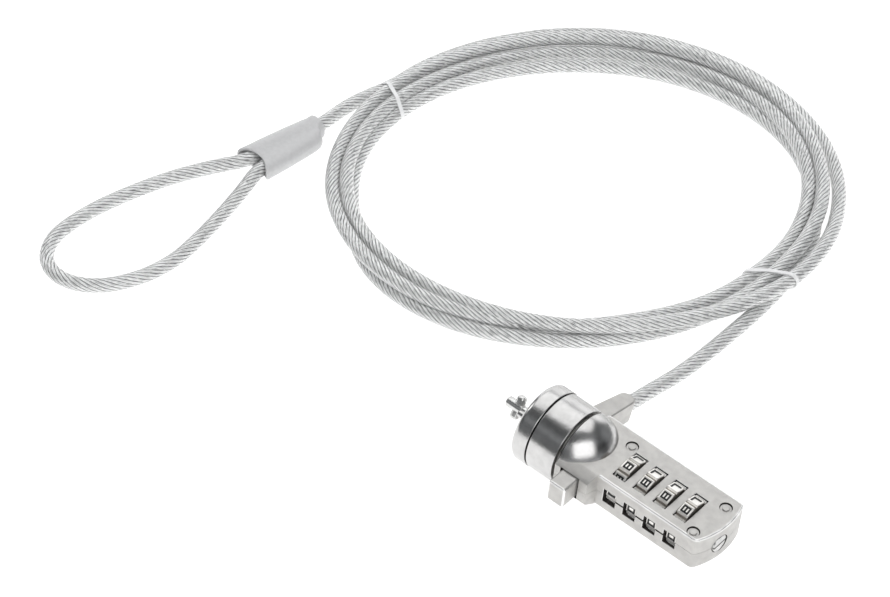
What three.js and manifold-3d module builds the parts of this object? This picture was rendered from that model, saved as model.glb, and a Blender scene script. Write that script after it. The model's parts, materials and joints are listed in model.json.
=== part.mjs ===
// Laptop cable lock: a four-dial lock head whose cable lug swivels about its barrel,
// and a coiled steel rope with a fixed loop at the far end.
//
// Millimetres, +Z up. The origin is on the table, under the middle of the lock head.
// The head is built along its own barrel: x towards the reset screw, y towards the
// lug, z up, with x = 0 on the collar's rear plane. Its group is then tilted until the
// collar and the last dial both touch the table.

import * as THREE from "three";
import { mergeVertices } from "three/addons/utils/BufferGeometryUtils.js";
import Module from "manifold-3d";

const wasm = await Module();
wasm.setup();

const GAP = 0.3;
const FINE = 32;
const COARSE = 20;
const SMALL = 12;

// Lock body, in plan and in thickness.
const BODY_FRONT = 0.5;
const BODY_NEAR = -7.5;
const BODY_FAR = 10.1;
const BODY_HALF = 5.2;
const END_ARC = { x: 22, y: 2.9, r: 21.8 };
const BODY_TIP = END_ARC.x + END_ARC.r;
const SHOULDER_NEAR = -10.8;
const SHOULDER_END = 10.5;
const SHOULDER_FOOT = 11.3;
const SHOULDER_HALF = 3.85;
const DOME_R = 10.45;

// Nose: front cap, swivel collar and the hub that both sit on.
const CAP = { front: -13.7, back: -8.88, r: 10.8, round: 1.6 };
const COLLAR = { front: -8.58, back: -0.5, r: 10.6 };
const HUB = { r: 7.5, back: 2, tenonR: 4, tenonFront: -10.6 };
const WASHER = { front: -1.7, back: -0.8, r: 8.9 };

// Cable lug, cast in one with the collar.
const LUG_DROP = THREE.MathUtils.degToRad(13);
const LUG = { front: -6.6, back: -0.8, reach: 25.3, half: 3.25, round: 2.4, taper: 1 };
const ROPE_X = -3.3;
const LUG_CRIMP = { foot: 16.5, top: 23.2 };

// T-shaped lock bar and the pins that guide it into a slot.
const BAR = { r: 1.25, back: 8.2, noseTip: -22.3, noseRound: -22.15, noseBase: -21.4 };
const BAR_ARMS = { front: -20.8, back: -18.4, span: 6.6, thick: 2.4 };
const BAR_TURN = THREE.MathUtils.degToRad(63);
const PIN = { r: 0.9, offset: 2.5, front: -18, back: -11.2 };
const PINION = { r: 2, front: 4, back: 6 };

// Push button on the near side, and its rack over the pinion.
const BUTTON = { front: 2.6, back: 7.6, half: 3.25, face: -15.8, inner: -8, round: 0.8 };
const BUTTON_TRAVEL = 3.5;
const RACK = { front: 3.6, back: 6.6, low: 2.35, high: 3.25, end: 4.5 };
const BUTTON_BORE = { x: 5.1, z: -0.6, r: 1.5, floor: -12 };
const BUTTON_STOP = -4.2;

// Dials and what runs through them.
const DIAL = { first: 15.25, pitch: 6.18, count: 4, r: 6.9, width: 3.2, bore: 3.6 };
const DIGITS = 10;
const PANEL_WIDTH = 3;
const PANEL_SLOPE = 0.05;
const GROOVE_DEPTH = 0.6;
const DIAL_TURN = Math.PI / DIGITS;
const FIRST_DIAL_TURN = DIAL_TURN / 2;
const POCKET = { r: 7.2, width: 3.8, slotLow: -2.2, slotHigh: 1.2 };
const SLEEVE = { r: 3.3, bore: 1.8, notchTop: 2.7, notchHalf: 0.6 };
const SPINDLE = { r: 1.5, front: 10, back: 39.9 };
const SPRING_CHAMBER = { front: 36.6, back: 40, r: 2.9 };
const SCREW = { head: 2.6, headFront: 41.9, tip: 43.4, r: 1.3, front: 40.3, slot: 0.8 };
const LEAF = { front: 12.2, back: 36.8, y: 7.6, thick: 0.5, half: 1.5, slot: 0.5 };

const BUTTON_SPRING = { r: 1, turns: 5, wire: 0.2 };
const SPINDLE_SPRING = { r: 2.3, turns: 3, wire: 0.25 };
const WIRE_SIDES = 5;
const WIRE_STEPS = 8;

const RIVETS = [
  [11.35, 5.7],
  [40, 6.1],
  [38.9, -5.5],
];
const RIVET = { head: 1.65, headDepth: 1.2, r: 1 };

// Steel rope: where it lies on the table.
const ROPE_R = 2;
const ROPE_REST = 2.05;
const ROPE_SIDES = 8;
const COIL = { x: -79.5, y: 83, long: 71.2, short: 66.1, width: 13.5, high: 7.6 };
const COIL_TURN = THREE.MathUtils.degToRad(40.22);
const COIL_CHAMFER = 1.8;
const COIL_SEGMENTS = 40;
const TIE = { thick: 0.6, along: 1, high: 8.2, groove: 1 };
const TIE_ANGLES = [-3, 183];
const LEAD_ROUTE = [
  [-14.3, 30, 3.6],
  [-13.4, 39.4, 2.5],
  [-12.8, 50.6, ROPE_REST],
  [-12.6, 60.8, ROPE_REST],
];
const TAIL_ROUTE = [
  [-150.4, 64.6, ROPE_REST],
  [-150.4, 60.5, 2.4],
];
const FERRULE = { x: -152.5, y: 29.7, length: 24.4, high: 6.4, wide: 13.2 };
const FERRULE_TURN = THREE.MathUtils.degToRad(-8);
const FERRULE_WALL = 0.7;
const FERRULE_SEGMENTS = 24;
// The sleeve up to its collar: shares of its length, of its half width and of its height, and
// how far its middle lies off its centre line.
const FERRULE_SHAPE = [
  { along: 0, wide: 1, high: 1, centre: 0 },
  { along: 0.45, wide: 0.92, high: 1, centre: 0.3 },
  { along: 0.8, wide: 0.81, high: 1, centre: 0.55 },
  { along: 0.9, wide: 0.68, high: 0.98, centre: 0 },
];
const FERRULE_SHOULDER = 0.935;
const ROPE_OFFSET = -1;
// How far a tube of rope runs straight out of the lug or the ferrule before it bends.
const ROPE_REACH = 1.5;
const FERRULE_COLLAR = 3.15;
const LEG = { root: 2.6, mouth: 2.9 };
const CRIMP = { front: 11, back: 19, wide: 6.8, high: 3.2 };
const LOOP_ROUTE = [
  [-161.2, 22.6, 2.3],
  [-166.6, 12.6, ROPE_REST],
  [-170.4, 1.8, ROPE_REST],
  [-173, -8.6, ROPE_REST],
  [-174, -18, ROPE_REST],
  [-173.2, -26, ROPE_REST],
  [-169.4, -32.4, ROPE_REST],
  [-163.6, -35.6, ROPE_REST],
  [-157.2, -35.4, ROPE_REST],
  [-151.2, -32, ROPE_REST],
  [-146.8, -26.4, ROPE_REST],
  [-143.8, -19, ROPE_REST],
  [-142.7, -10.6, ROPE_REST],
  [-143.6, -1.2, ROPE_REST],
  [-145.4, 9.2, ROPE_REST],
  [-147.6, 19.6, 2.3],
];

// How the head rests: the collar's rear rim and the last dial's rear rim both touch.
const LAST_RIM = DIAL.first + (DIAL.count - 1) * DIAL.pitch + DIAL.width / 2;
const PANEL_HALF_ANGLE = Math.asin(PANEL_WIDTH / 2 / DIAL.r);
const DIAL_TOUCH = DIAL.r * Math.cos(DIAL_TURN - PANEL_HALF_ANGLE);
const TILT = Math.atan2(COLLAR.r - DIAL_TOUCH, LAST_RIM - COLLAR.back);
const HEAD_Z = COLLAR.r * Math.cos(TILT) + COLLAR.back * Math.sin(TILT);
const HEAD_REAR = BODY_TIP * Math.cos(TILT) + BODY_HALF * Math.sin(TILT);
const HEAD_X = -(HEAD_REAR + BAR.noseTip * Math.cos(TILT)) / 2;
const LUG_SIDE = LUG.reach * Math.cos(LUG_DROP) + LUG.half * Math.sin(LUG_DROP);
const HEAD_Y = -(LUG_SIDE + BUTTON.face) / 2;

const NICKEL = { color: 0xc9c7c0, roughness: 0.38, metalness: 1 };
const CHROME = { color: 0xdcdcdc, roughness: 0.08, metalness: 1 };
const STEEL = { color: 0x9c9c9c, roughness: 0.35, metalness: 1 };
const BRASS = { color: 0xb59a5c, roughness: 0.4, metalness: 1 };
const DIAL_METAL = { color: 0xb4afa6, roughness: 0.35, metalness: 1 };
const ROPE = { color: 0xc4c6c6, roughness: 0.25, metalness: 0.4 };
const GREY_PLASTIC = { color: 0xc8c8c8, roughness: 0.6, metalness: 0 };
const CLEAR_PLASTIC = { color: 0xeef0f2, roughness: 0.3, metalness: 0 };

const lock = new THREE.Group();
const head = new THREE.Group();
head.position.set(HEAD_X, HEAD_Y, HEAD_Z);
head.rotation.y = TILT;
head.updateMatrixWorld(true);
lock.add(head);

function piece(parent, name, geometry, look) {
  const mesh = new THREE.Mesh(geometry, new THREE.MeshStandardMaterial(look));
  mesh.name = name;
  parent.add(mesh);
  return mesh;
}

// ---- solids -------------------------------------------------------------------

function withoutSlivers(index) {
  const kept = [];
  for (let i = 0; i < index.length; i += 3) {
    const [a, b, c] = index.slice(i, i + 3);
    if (a !== b && b !== c && c !== a) kept.push(a, b, c);
  }
  return kept;
}

function solid(geometry) {
  const bare = geometry.clone();
  bare.deleteAttribute("normal");
  bare.deleteAttribute("uv");
  const merged = mergeVertices(bare, 1e-4);
  return new wasm.Manifold(
    new wasm.Mesh({
      numProp: 3,
      vertProperties: new Float32Array(merged.attributes.position.array),
      triVerts: new Uint32Array(withoutSlivers(Array.from(merged.index.array))),
    }),
  );
}

function geometryOf(body) {
  const mesh = body.getMesh();
  const geometry = new THREE.BufferGeometry();
  const points = new Float32Array(mesh.vertProperties);
  geometry.setAttribute("position", new THREE.BufferAttribute(points, 3));
  geometry.setIndex(new THREE.BufferAttribute(new Uint32Array(mesh.triVerts), 1));
  geometry.computeVertexNormals();
  return geometry;
}

function joined(...geometries) {
  return geometries.map(solid).reduce((whole, next) => whole.add(next));
}

function cut(body, geometries) {
  return geometries.map(solid).reduce((rest, tool) => rest.subtract(tool), body);
}

// ---- shapes -------------------------------------------------------------------

const X_AXIS = new THREE.Vector3(1, 0, 0);
const Y_AXIS = new THREE.Vector3(0, 1, 0);
const Z_AXIS = new THREE.Vector3(0, 0, 1);

function box(x0, x1, y0, y1, z0, z1) {
  const geometry = new THREE.BoxGeometry(x1 - x0, y1 - y0, z1 - z0);
  return geometry.translate((x0 + x1) / 2, (y0 + y1) / 2, (z0 + z1) / 2);
}

// A body turned about the barrel: the profile's points are [x, radius], x rising.
function turned(profile, segments) {
  const points = profile.map(([x, r]) => new THREE.Vector2(r, x));
  return new THREE.LatheGeometry(points, segments).rotateZ(-Math.PI / 2);
}

function disc(x0, x1, r, segments) {
  return turned([[x0, 0], [x0, r], [x1, r], [x1, 0]], segments);
}

function ring(x0, x1, inner, outer, segments) {
  return turned([[x0, inner], [x0, outer], [x1, outer], [x1, inner], [x0, inner]], segments);
}

function rod(radius, start, end, segments) {
  const along = end.clone().sub(start);
  const geometry = new THREE.CylinderGeometry(radius, radius, along.length(), segments);
  const turn = new THREE.Quaternion().setFromUnitVectors(Y_AXIS, along.normalize());
  geometry.applyQuaternion(turn);
  const middle = start.clone().add(end).multiplyScalar(0.5);
  return geometry.translate(middle.x, middle.y, middle.z);
}

function extruded(shape, depth, curveSegments = 8) {
  return new THREE.ExtrudeGeometry(shape, { depth, bevelEnabled: false, curveSegments });
}

// A plan outline, made equally thick above and below z = 0.
function slab(shape, half) {
  return extruded(shape, 2 * half).translate(0, 0, -half);
}

// An outline drawn in (y, z) and extruded along the barrel from x0.
function acrossBarrel(shape, x0, length) {
  const turn = new THREE.Matrix4().makeBasis(Y_AXIS, Z_AXIS, X_AXIS);
  return extruded(shape, length).applyMatrix4(turn).translate(x0, 0, 0);
}

// An outline drawn in (x, z) and extruded towards +y from y0.
function acrossSide(shape, y0, length) {
  const turn = new THREE.Matrix4().makeBasis(X_AXIS, Z_AXIS, Y_AXIS.clone().negate());
  return extruded(shape, length).applyMatrix4(turn).translate(0, y0 + length, 0);
}

function polygon(points) {
  return new THREE.Shape(points.map(([x, y]) => new THREE.Vector2(x, y)));
}

function circlePath(r, segments) {
  const corners = [];
  for (let i = 0; i < segments; i += 1) {
    const angle = (2 * Math.PI * i) / segments;
    corners.push(new THREE.Vector2(r * Math.cos(angle), r * Math.sin(angle)));
  }
  return new THREE.Path(corners);
}

function roundedRectangle(x0, x1, y0, y1, r) {
  const shape = new THREE.Shape();
  shape.moveTo(x0 + r, y0);
  shape.lineTo(x1 - r, y0);
  shape.absarc(x1 - r, y0 + r, r, -Math.PI / 2, 0, false);
  shape.lineTo(x1, y1 - r);
  shape.absarc(x1 - r, y1 - r, r, 0, Math.PI / 2, false);
  shape.lineTo(x0 + r, y1);
  shape.absarc(x0 + r, y1 - r, r, Math.PI / 2, Math.PI, false);
  shape.lineTo(x0, y0 + r);
  shape.absarc(x0 + r, y0 + r, r, Math.PI, 1.5 * Math.PI, false);
  return shape;
}

class Helix extends THREE.Curve {
  constructor(start, end, r, turns) {
    super();
    Object.assign(this, { start, end, r, turns });
    this.side = new THREE.Vector3().crossVectors(Z_AXIS, end.clone().sub(start)).normalize();
  }

  getPoint(t) {
    const angle = 2 * Math.PI * this.turns * t;
    return this.start
      .clone()
      .lerp(this.end, t)
      .addScaledVector(this.side, this.r * Math.cos(angle))
      .addScaledVector(Z_AXIS, this.r * Math.sin(angle));
  }
}

function alongPath(curve, radius, sides, steps) {
  const section = new THREE.Shape(circlePath(radius, sides).getPoints());
  return new THREE.ExtrudeGeometry(section, { steps, extrudePath: curve, bevelEnabled: false });
}

function spring(start, end, { r, turns, wire }) {
  return alongPath(new Helix(start, end, r, turns), wire, WIRE_SIDES, turns * WIRE_STEPS);
}

// ---- lock body ----------------------------------------------------------------

function bodyPlan() {
  const shape = new THREE.Shape();
  const near = Math.asin((BODY_NEAR - END_ARC.y) / END_ARC.r);
  const far = Math.asin((BODY_FAR - END_ARC.y) / END_ARC.r);
  shape.moveTo(BODY_FRONT, BODY_NEAR);
  shape.lineTo(END_ARC.x + END_ARC.r * Math.cos(near), BODY_NEAR);
  shape.absarc(END_ARC.x, END_ARC.y, END_ARC.r, near, far, false);
  shape.lineTo(BODY_FRONT, BODY_FAR);
  return shape;
}

function shoulderPlan() {
  return polygon([
    [BODY_FRONT, BODY_NEAR + GAP],
    [BODY_FRONT, SHOULDER_NEAR],
    [SHOULDER_END, SHOULDER_NEAR],
    [SHOULDER_FOOT, BODY_NEAR],
    [SHOULDER_FOOT, BODY_NEAR + GAP],
  ]);
}

function domeProfile() {
  const profile = [[BODY_FRONT, 0]];
  const start = Math.asin(BODY_FRONT / DOME_R);
  const steps = 7;
  for (let i = 0; i < steps; i += 1) {
    const angle = start + ((Math.PI / 2 - start) * i) / steps;
    profile.push([DOME_R * Math.sin(angle), DOME_R * Math.cos(angle)]);
  }
  profile.push([DOME_R, 0]);
  return profile;
}

function dialCentre(i) {
  return DIAL.first + i * DIAL.pitch;
}

function dialCuts(i) {
  const front = dialCentre(i) - POCKET.width / 2;
  const back = front + POCKET.width;
  return [
    disc(front, back, POCKET.r, FINE),
    box(front, back, BODY_NEAR - 1, 0, POCKET.slotLow, POCKET.slotHigh),
  ];
}

function rivetCuts([x, y]) {
  const bottom = new THREE.Vector3(x, y, -BODY_HALF);
  const top = new THREE.Vector3(x, y, BODY_HALF);
  const cuts = [rod(RIVET.r + GAP, bottom, top, SMALL)];
  for (const side of [-1, 1]) {
    const floor = new THREE.Vector3(x, y, side * (BODY_HALF - RIVET.headDepth - GAP));
    const mouth = new THREE.Vector3(x, y, side * (BODY_HALF + 1));
    cuts.push(rod(RIVET.head + GAP, floor, mouth, SMALL));
  }
  return cuts;
}

function buttonCuts() {
  const b = BUTTON;
  const rackEnd = RACK.end + BUTTON_TRAVEL + GAP;
  return [
    box(b.front - GAP, b.back + GAP, SHOULDER_NEAR - 1, BUTTON_STOP, -b.half - GAP, b.half + GAP),
    box(RACK.front - GAP, RACK.back + GAP, b.inner, rackEnd, RACK.low - GAP, RACK.high + GAP),
    disc(PINION.front - GAP, PINION.back + GAP, PINION.r + GAP, COARSE),
    disc(HUB.back, BAR.back + GAP, BAR.r + GAP, COARSE),
  ];
}

function barrelCuts() {
  const leafBack = LEAF.y + LEAF.thick + GAP;
  const leafHalf = LEAF.half + GAP;
  return [
    disc(BODY_FRONT - 1, HUB.back + GAP, HUB.r + GAP, FINE),
    disc(SPINDLE.front - GAP, SPRING_CHAMBER.back, SPINDLE.r + GAP, COARSE),
    disc(SPRING_CHAMBER.front, SPRING_CHAMBER.back, SPRING_CHAMBER.r, COARSE),
    disc(SPRING_CHAMBER.back - GAP, SCREW.tip, SCREW.r + GAP, COARSE),
    disc(SCREW.headFront - GAP, BODY_TIP + 1, SCREW.head + GAP, COARSE),
    box(LEAF.front - GAP, LEAF.back + GAP, LEAF.y - 1, leafBack, -leafHalf, leafHalf),
  ];
}

function addShells() {
  const outside = joined(
    slab(bodyPlan(), BODY_HALF),
    slab(shoulderPlan(), SHOULDER_HALF),
    turned(domeProfile(), FINE),
  );
  const cuts = [...buttonCuts(), ...barrelCuts(), ...RIVETS.flatMap(rivetCuts)];
  for (let i = 0; i < DIAL.count; i += 1) {
    cuts.push(...dialCuts(i));
  }
  const body = cut(outside, cuts);
  const far = 2 * BODY_TIP;
  const upper = cut(body, [box(-far, far, -far, far, -far, GAP / 2)]);
  const lower = cut(body, [box(-far, far, -far, far, -GAP / 2, far)]);
  piece(head, "upper_shell", geometryOf(upper), NICKEL);
  piece(head, "lower_shell", geometryOf(lower), NICKEL);
}

function addRivets() {
  const profile = [
    [-BODY_HALF, 0],
    [-BODY_HALF, RIVET.head],
    [-BODY_HALF + RIVET.headDepth, RIVET.head],
    [-BODY_HALF + RIVET.headDepth, RIVET.r],
    [BODY_HALF - RIVET.headDepth, RIVET.r],
    [BODY_HALF - RIVET.headDepth, RIVET.head],
    [BODY_HALF, RIVET.head],
    [BODY_HALF, 0],
  ];
  RIVETS.forEach(([x, y], i) => {
    const rivet = piece(head, `rivet_${i + 1}`, turned(profile, SMALL), NICKEL);
    rivet.rotation.y = -Math.PI / 2;
    rivet.position.set(x, y, 0);
  });
}

function addResetScrew() {
  const { front, headFront, tip, r, head: headR, slot } = SCREW;
  const blank = turned(
    [[front, 0], [front, r], [headFront, r], [headFront, headR], [tip, headR], [tip, 0]],
    COARSE,
  );
  const groove = box(tip - slot, tip + 1, -headR - 1, headR + 1, -slot / 2, slot / 2);
  piece(head, "reset_screw", geometryOf(cut(solid(blank), [groove])), STEEL);
}

// ---- nose ---------------------------------------------------------------------

function pinPlace(side) {
  const angle = BAR_TURN - Math.PI / 2;
  return [side * PIN.offset * Math.cos(angle), side * PIN.offset * Math.sin(angle)];
}

function addFrontCap() {
  const profile = [[CAP.front, 0], [CAP.front, CAP.r - CAP.round]];
  const steps = 4;
  for (let i = 1; i <= steps; i += 1) {
    const angle = (Math.PI / 2) * (i / steps);
    const x = CAP.front + CAP.round * (1 - Math.cos(angle));
    profile.push([x, CAP.r - CAP.round * (1 - Math.sin(angle))]);
  }
  profile.push([CAP.back, CAP.r], [CAP.back, 0]);
  const cuts = [
    disc(CAP.front - 1, CAP.back + 1, BAR.r + GAP, COARSE),
    disc(HUB.tenonFront - GAP, CAP.back + 1, HUB.tenonR + GAP, COARSE),
  ];
  for (const side of [-1, 1]) {
    const [y, z] = pinPlace(side);
    cuts.push(disc(CAP.front - 1, PIN.back + GAP, PIN.r + GAP, SMALL).translate(0, y, z));
    piece(head, `guide_pin_${side < 0 ? 1 : 2}`, disc(PIN.front, PIN.back, PIN.r, SMALL), STEEL)
      .position.set(0, y, z);
  }
  piece(head, "front_cap", geometryOf(cut(solid(turned(profile, FINE)), cuts)), CHROME);
}

function addHub() {
  const blank = turned(
    [
      [HUB.tenonFront, BAR.r + GAP],
      [HUB.tenonFront, HUB.tenonR],
      [COLLAR.front, HUB.tenonR],
      [COLLAR.front, HUB.r],
      [HUB.back, HUB.r],
      [HUB.back, BAR.r + GAP],
      [HUB.tenonFront, BAR.r + GAP],
    ],
    FINE,
  );
  piece(head, "barrel_hub", blank, STEEL);
  const washer = ring(WASHER.front, WASHER.back, HUB.r + GAP, WASHER.r, FINE);
  piece(head, "wave_washer", washer, STEEL);
}

function lugPlan() {
  const { front, back, reach, round, taper } = LUG;
  const root = HUB.r + 2 * GAP;
  const shape = new THREE.Shape();
  shape.moveTo(back, root);
  shape.lineTo(back, reach - round);
  shape.absarc(back - round, reach - round, round, 0, Math.PI / 2, false);
  shape.lineTo(front + taper + round, reach);
  shape.absarc(front + taper + round, reach - round, round, Math.PI / 2, Math.PI, false);
  shape.lineTo(front, COLLAR.r + round);
  shape.lineTo(front, root);
  return shape;
}

// The rope's axis in the lug, at a distance from the barrel axis.
function lugPoint(distance) {
  const drop = -distance * Math.sin(LUG_DROP);
  return new THREE.Vector3(ROPE_X, distance * Math.cos(LUG_DROP), drop);
}

function addCollar() {
  const lug = slab(lugPlan(), LUG.half).rotateX(-LUG_DROP);
  const blank = joined(ring(COLLAR.front, COLLAR.back, HUB.r + GAP, COLLAR.r, FINE), lug);
  const counterbore = disc(WASHER.front - GAP, 1, WASHER.r + GAP, FINE);
  const collar = cut(blank, [
    disc(COLLAR.front - 1, 1, HUB.r + GAP, FINE),
    counterbore,
    rod(ROPE_R + GAP, lugPoint(LUG_CRIMP.foot - GAP), lugPoint(LUG.reach + 1), SMALL),
  ]);
  piece(head, "swivel_collar", geometryOf(collar), CHROME);
  const crimp = rod(ROPE_R, lugPoint(LUG_CRIMP.foot), lugPoint(LUG_CRIMP.top), SMALL);
  piece(head, "lug_crimp", crimp, STEEL);
}

function addLockBar() {
  const { r, back, noseTip, noseRound, noseBase } = BAR;
  const shaft = turned(
    [[noseTip, 0], [noseRound, r / 2], [noseBase, r], [back, r], [back, 0]],
    COARSE,
  );
  const { span, thick } = BAR_ARMS;
  const arms = box(
    BAR_ARMS.front, BAR_ARMS.back, -span / 2, span / 2, -thick / 2, thick / 2,
  );
  piece(head, "lock_bar", geometryOf(joined(shaft, arms.rotateX(BAR_TURN))), CHROME);
  piece(head, "drive_pinion", ring(PINION.front, PINION.back, r + GAP, PINION.r, COARSE), BRASS);
}

// ---- button -------------------------------------------------------------------

function addButton() {
  const { front, back, half, face, inner, round } = BUTTON;
  const outline = roundedRectangle(front, back, -half, half, round);
  const block = acrossSide(outline, face, inner - face);
  const rack = box(RACK.front, RACK.back, inner - 1, RACK.end, RACK.low, RACK.high);
  const { x, z, r, floor } = BUTTON_BORE;
  const bore = rod(r, new THREE.Vector3(x, floor, z), new THREE.Vector3(x, inner + 1, z), SMALL);
  piece(head, "push_button", geometryOf(cut(joined(block, rack), [bore])), NICKEL);
  const start = new THREE.Vector3(x, floor + 2 * GAP, z);
  const end = new THREE.Vector3(x, BUTTON_STOP - 2 * GAP, z);
  piece(head, "button_spring", spring(start, end, BUTTON_SPRING), STEEL);
}

// ---- dials --------------------------------------------------------------------

function dialOutline() {
  const corners = [];
  const pitch = (2 * Math.PI) / DIGITS;
  const floor = DIAL.r - GROOVE_DEPTH;
  const foot = PANEL_HALF_ANGLE + PANEL_SLOPE;
  const place = (r, angle) => {
    corners.push(new THREE.Vector2(r * Math.cos(angle), r * Math.sin(angle)));
  };
  for (let i = 0; i < DIGITS; i += 1) {
    const middle = Math.PI / 2 + i * pitch;
    place(floor, middle - pitch / 2);
    place(floor, middle - foot);
    place(DIAL.r, middle - PANEL_HALF_ANGLE);
    place(DIAL.r, middle);
    place(DIAL.r, middle + PANEL_HALF_ANGLE);
    place(floor, middle + foot);
  }
  const shape = new THREE.Shape(corners);
  shape.holes.push(circlePath(DIAL.bore, COARSE));
  return shape;
}

function sleeveOutline() {
  const shape = new THREE.Shape(circlePath(SLEEVE.r, COARSE).getPoints());
  const { bore, notchTop, notchHalf } = SLEEVE;
  const edge = Math.acos(notchHalf / bore);
  const corners = [
    new THREE.Vector2(notchHalf, notchTop),
    new THREE.Vector2(-notchHalf, notchTop),
  ];
  const sweep = 2 * Math.PI - (Math.PI - 2 * edge);
  for (let i = 0; i <= SMALL; i += 1) {
    const angle = Math.PI - edge + (sweep * i) / SMALL;
    corners.push(new THREE.Vector2(bore * Math.cos(angle), bore * Math.sin(angle)));
  }
  shape.holes.push(new THREE.Path(corners));
  return shape;
}

function addDials() {
  for (let i = 0; i < DIAL.count; i += 1) {
    const front = dialCentre(i) - DIAL.width / 2;
    const turn = i === 0 ? FIRST_DIAL_TURN : DIAL_TURN;
    const number = i + 1;
    const dial = acrossBarrel(dialOutline(), front, DIAL.width);
    piece(head, `dial_${number}`, dial, DIAL_METAL).rotation.x = turn;
    const sleeve = acrossBarrel(sleeveOutline(), front, DIAL.width);
    piece(head, `dial_sleeve_${number}`, sleeve, BRASS).rotation.x = turn;
  }
}

function addSpindle() {
  const { front, back, r } = SPINDLE;
  piece(head, "spindle", disc(front, back, r, SMALL), STEEL);
  const start = new THREE.Vector3(SPRING_CHAMBER.front + 2 * GAP, 0, 0);
  const end = new THREE.Vector3(SPRING_CHAMBER.back - 2 * GAP, 0, 0);
  piece(head, "spindle_spring", spring(start, end, SPINDLE_SPRING), STEEL);
}

function addDetentPlate() {
  const { front, back, y, thick, half } = LEAF;
  const corners = [[front, -half], [back, -half], [back, half]];
  for (let i = DIAL.count - 1; i > 0; i -= 1) {
    const gap = dialCentre(i) - DIAL.pitch / 2;
    const [right, left] = [gap + LEAF.slot, gap - LEAF.slot];
    corners.push([right, half], [right, 0], [left, 0], [left, half]);
  }
  corners.push([front, half]);
  piece(head, "detent_plate", acrossSide(polygon(corners), y, thick), STEEL);
}

// ---- rope ---------------------------------------------------------------------

function ropeTube(name, route, steps) {
  const points = route.map((place) => new THREE.Vector3(...place));
  const curve = new THREE.CatmullRomCurve3(points, false, "centripetal");
  piece(lock, name, alongPath(curve, ROPE_R, ROPE_SIDES, steps), ROPE);
}

function addLead() {
  const inLug = [LUG_CRIMP.top + GAP, LUG.reach + ROPE_REACH].map((distance) => {
    const point = head.localToWorld(lugPoint(distance));
    return [point.x, point.y, point.z];
  });
  ropeTube("cable_lead", [...inLug, ...LEAD_ROUTE], 6);
}

function tieOutline(grow) {
  const { width } = COIL;
  return roundedRectangle(-width - grow, grow, -grow, TIE.high + grow, COIL_CHAMFER);
}

function tieBand(outer, inner, along) {
  const shape = tieOutline(outer);
  shape.holes.push(new THREE.Path(tieOutline(inner).getPoints(3)));
  return extruded(shape, along, 3).translate(0, 0, -along / 2);
}

// The coil's outline is an ellipse; this is its edge and its outward heading.
function coilEdge(degrees) {
  const angle = THREE.MathUtils.degToRad(degrees) - COIL_TURN;
  const edge = new THREE.Vector2(COIL.long * Math.cos(angle), COIL.short * Math.sin(angle));
  const outward = new THREE.Vector2(Math.cos(angle) / COIL.long, Math.sin(angle) / COIL.short);
  return {
    place: edge.rotateAround(new THREE.Vector2(), COIL_TURN).add(new THREE.Vector2(COIL.x, COIL.y)),
    heading: outward.angle() + COIL_TURN,
  };
}

function standOnEdge(geometry, degrees) {
  const { place, heading } = coilEdge(degrees);
  const outward = new THREE.Vector3(Math.cos(heading), Math.sin(heading), 0);
  const along = new THREE.Vector3().crossVectors(outward, Z_AXIS);
  const turn = new THREE.Matrix4().makeBasis(outward, Z_AXIS, along);
  return geometry.applyMatrix4(turn).translate(place.x, place.y, 0);
}

function addCoil() {
  const { short, width, high } = COIL;
  const c = COIL_CHAMFER;
  const inner = short - width;
  const section = [
    [inner + c, 0],
    [short - c, 0],
    [short, c],
    [short, high - c],
    [short - c, high],
    [inner + c, high],
    [inner, high - c],
    [inner, c],
    [inner + c, 0],
  ];
  const points = section.map(([r, z]) => new THREE.Vector2(r, z));
  const blank = new THREE.LatheGeometry(points, COIL_SEGMENTS)
    .rotateX(Math.PI / 2)
    .scale(COIL.long / short, 1, 1)
    .rotateZ(COIL_TURN)
    .translate(COIL.x, COIL.y, 0);
  const grooves = TIE_ANGLES.map((degrees) =>
    standOnEdge(tieBand(TIE.groove, -TIE.thick - GAP, TIE.along + 2 * GAP), degrees),
  );
  piece(lock, "cable_coil", geometryOf(cut(solid(blank), grooves)), ROPE);
  TIE_ANGLES.forEach((degrees, i) => {
    const band = standOnEdge(tieBand(0, -TIE.thick, TIE.along), degrees);
    piece(lock, `coil_tie_${i + 1}`, band, CLEAR_PLASTIC);
  });
}

// ---- ferrule and end loop -----------------------------------------------------

// A closed skin over equal rings of points, capped at both ends.
function loft(rings) {
  const count = rings[0].length;
  const positions = rings.flat().flatMap((p) => [p.x, p.y, p.z]);
  const index = [];
  for (let k = 0; k + 1 < rings.length; k += 1) {
    for (let i = 0; i < count; i += 1) {
      const a = k * count + i;
      const b = k * count + ((i + 1) % count);
      index.push(a, b + count, b, a, a + count, b + count);
    }
  }
  const last = (rings.length - 1) * count;
  for (let i = 1; i + 1 < count; i += 1) {
    index.push(0, i, i + 1, last, last + i + 1, last + i);
  }
  const geometry = new THREE.BufferGeometry();
  geometry.setAttribute("position", new THREE.Float32BufferAttribute(positions, 3));
  geometry.setIndex(index);
  return geometry;
}

// A rounded-rectangle ring at a distance up the ferrule; x across, y along, z up.
function ferruleRing(along, centre, halfWide, halfHigh) {
  const points = [];
  const squared = (value) => Math.sign(value) * Math.abs(value) ** 0.7;
  for (let i = 0; i < FERRULE_SEGMENTS; i += 1) {
    const angle = (2 * Math.PI * i) / FERRULE_SEGMENTS;
    const x = squared(Math.cos(angle)) * halfWide;
    const z = squared(Math.sin(angle)) * halfHigh;
    points.push(new THREE.Vector3(centre + x, along, z + FERRULE.high / 2));
  }
  return points;
}

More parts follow.
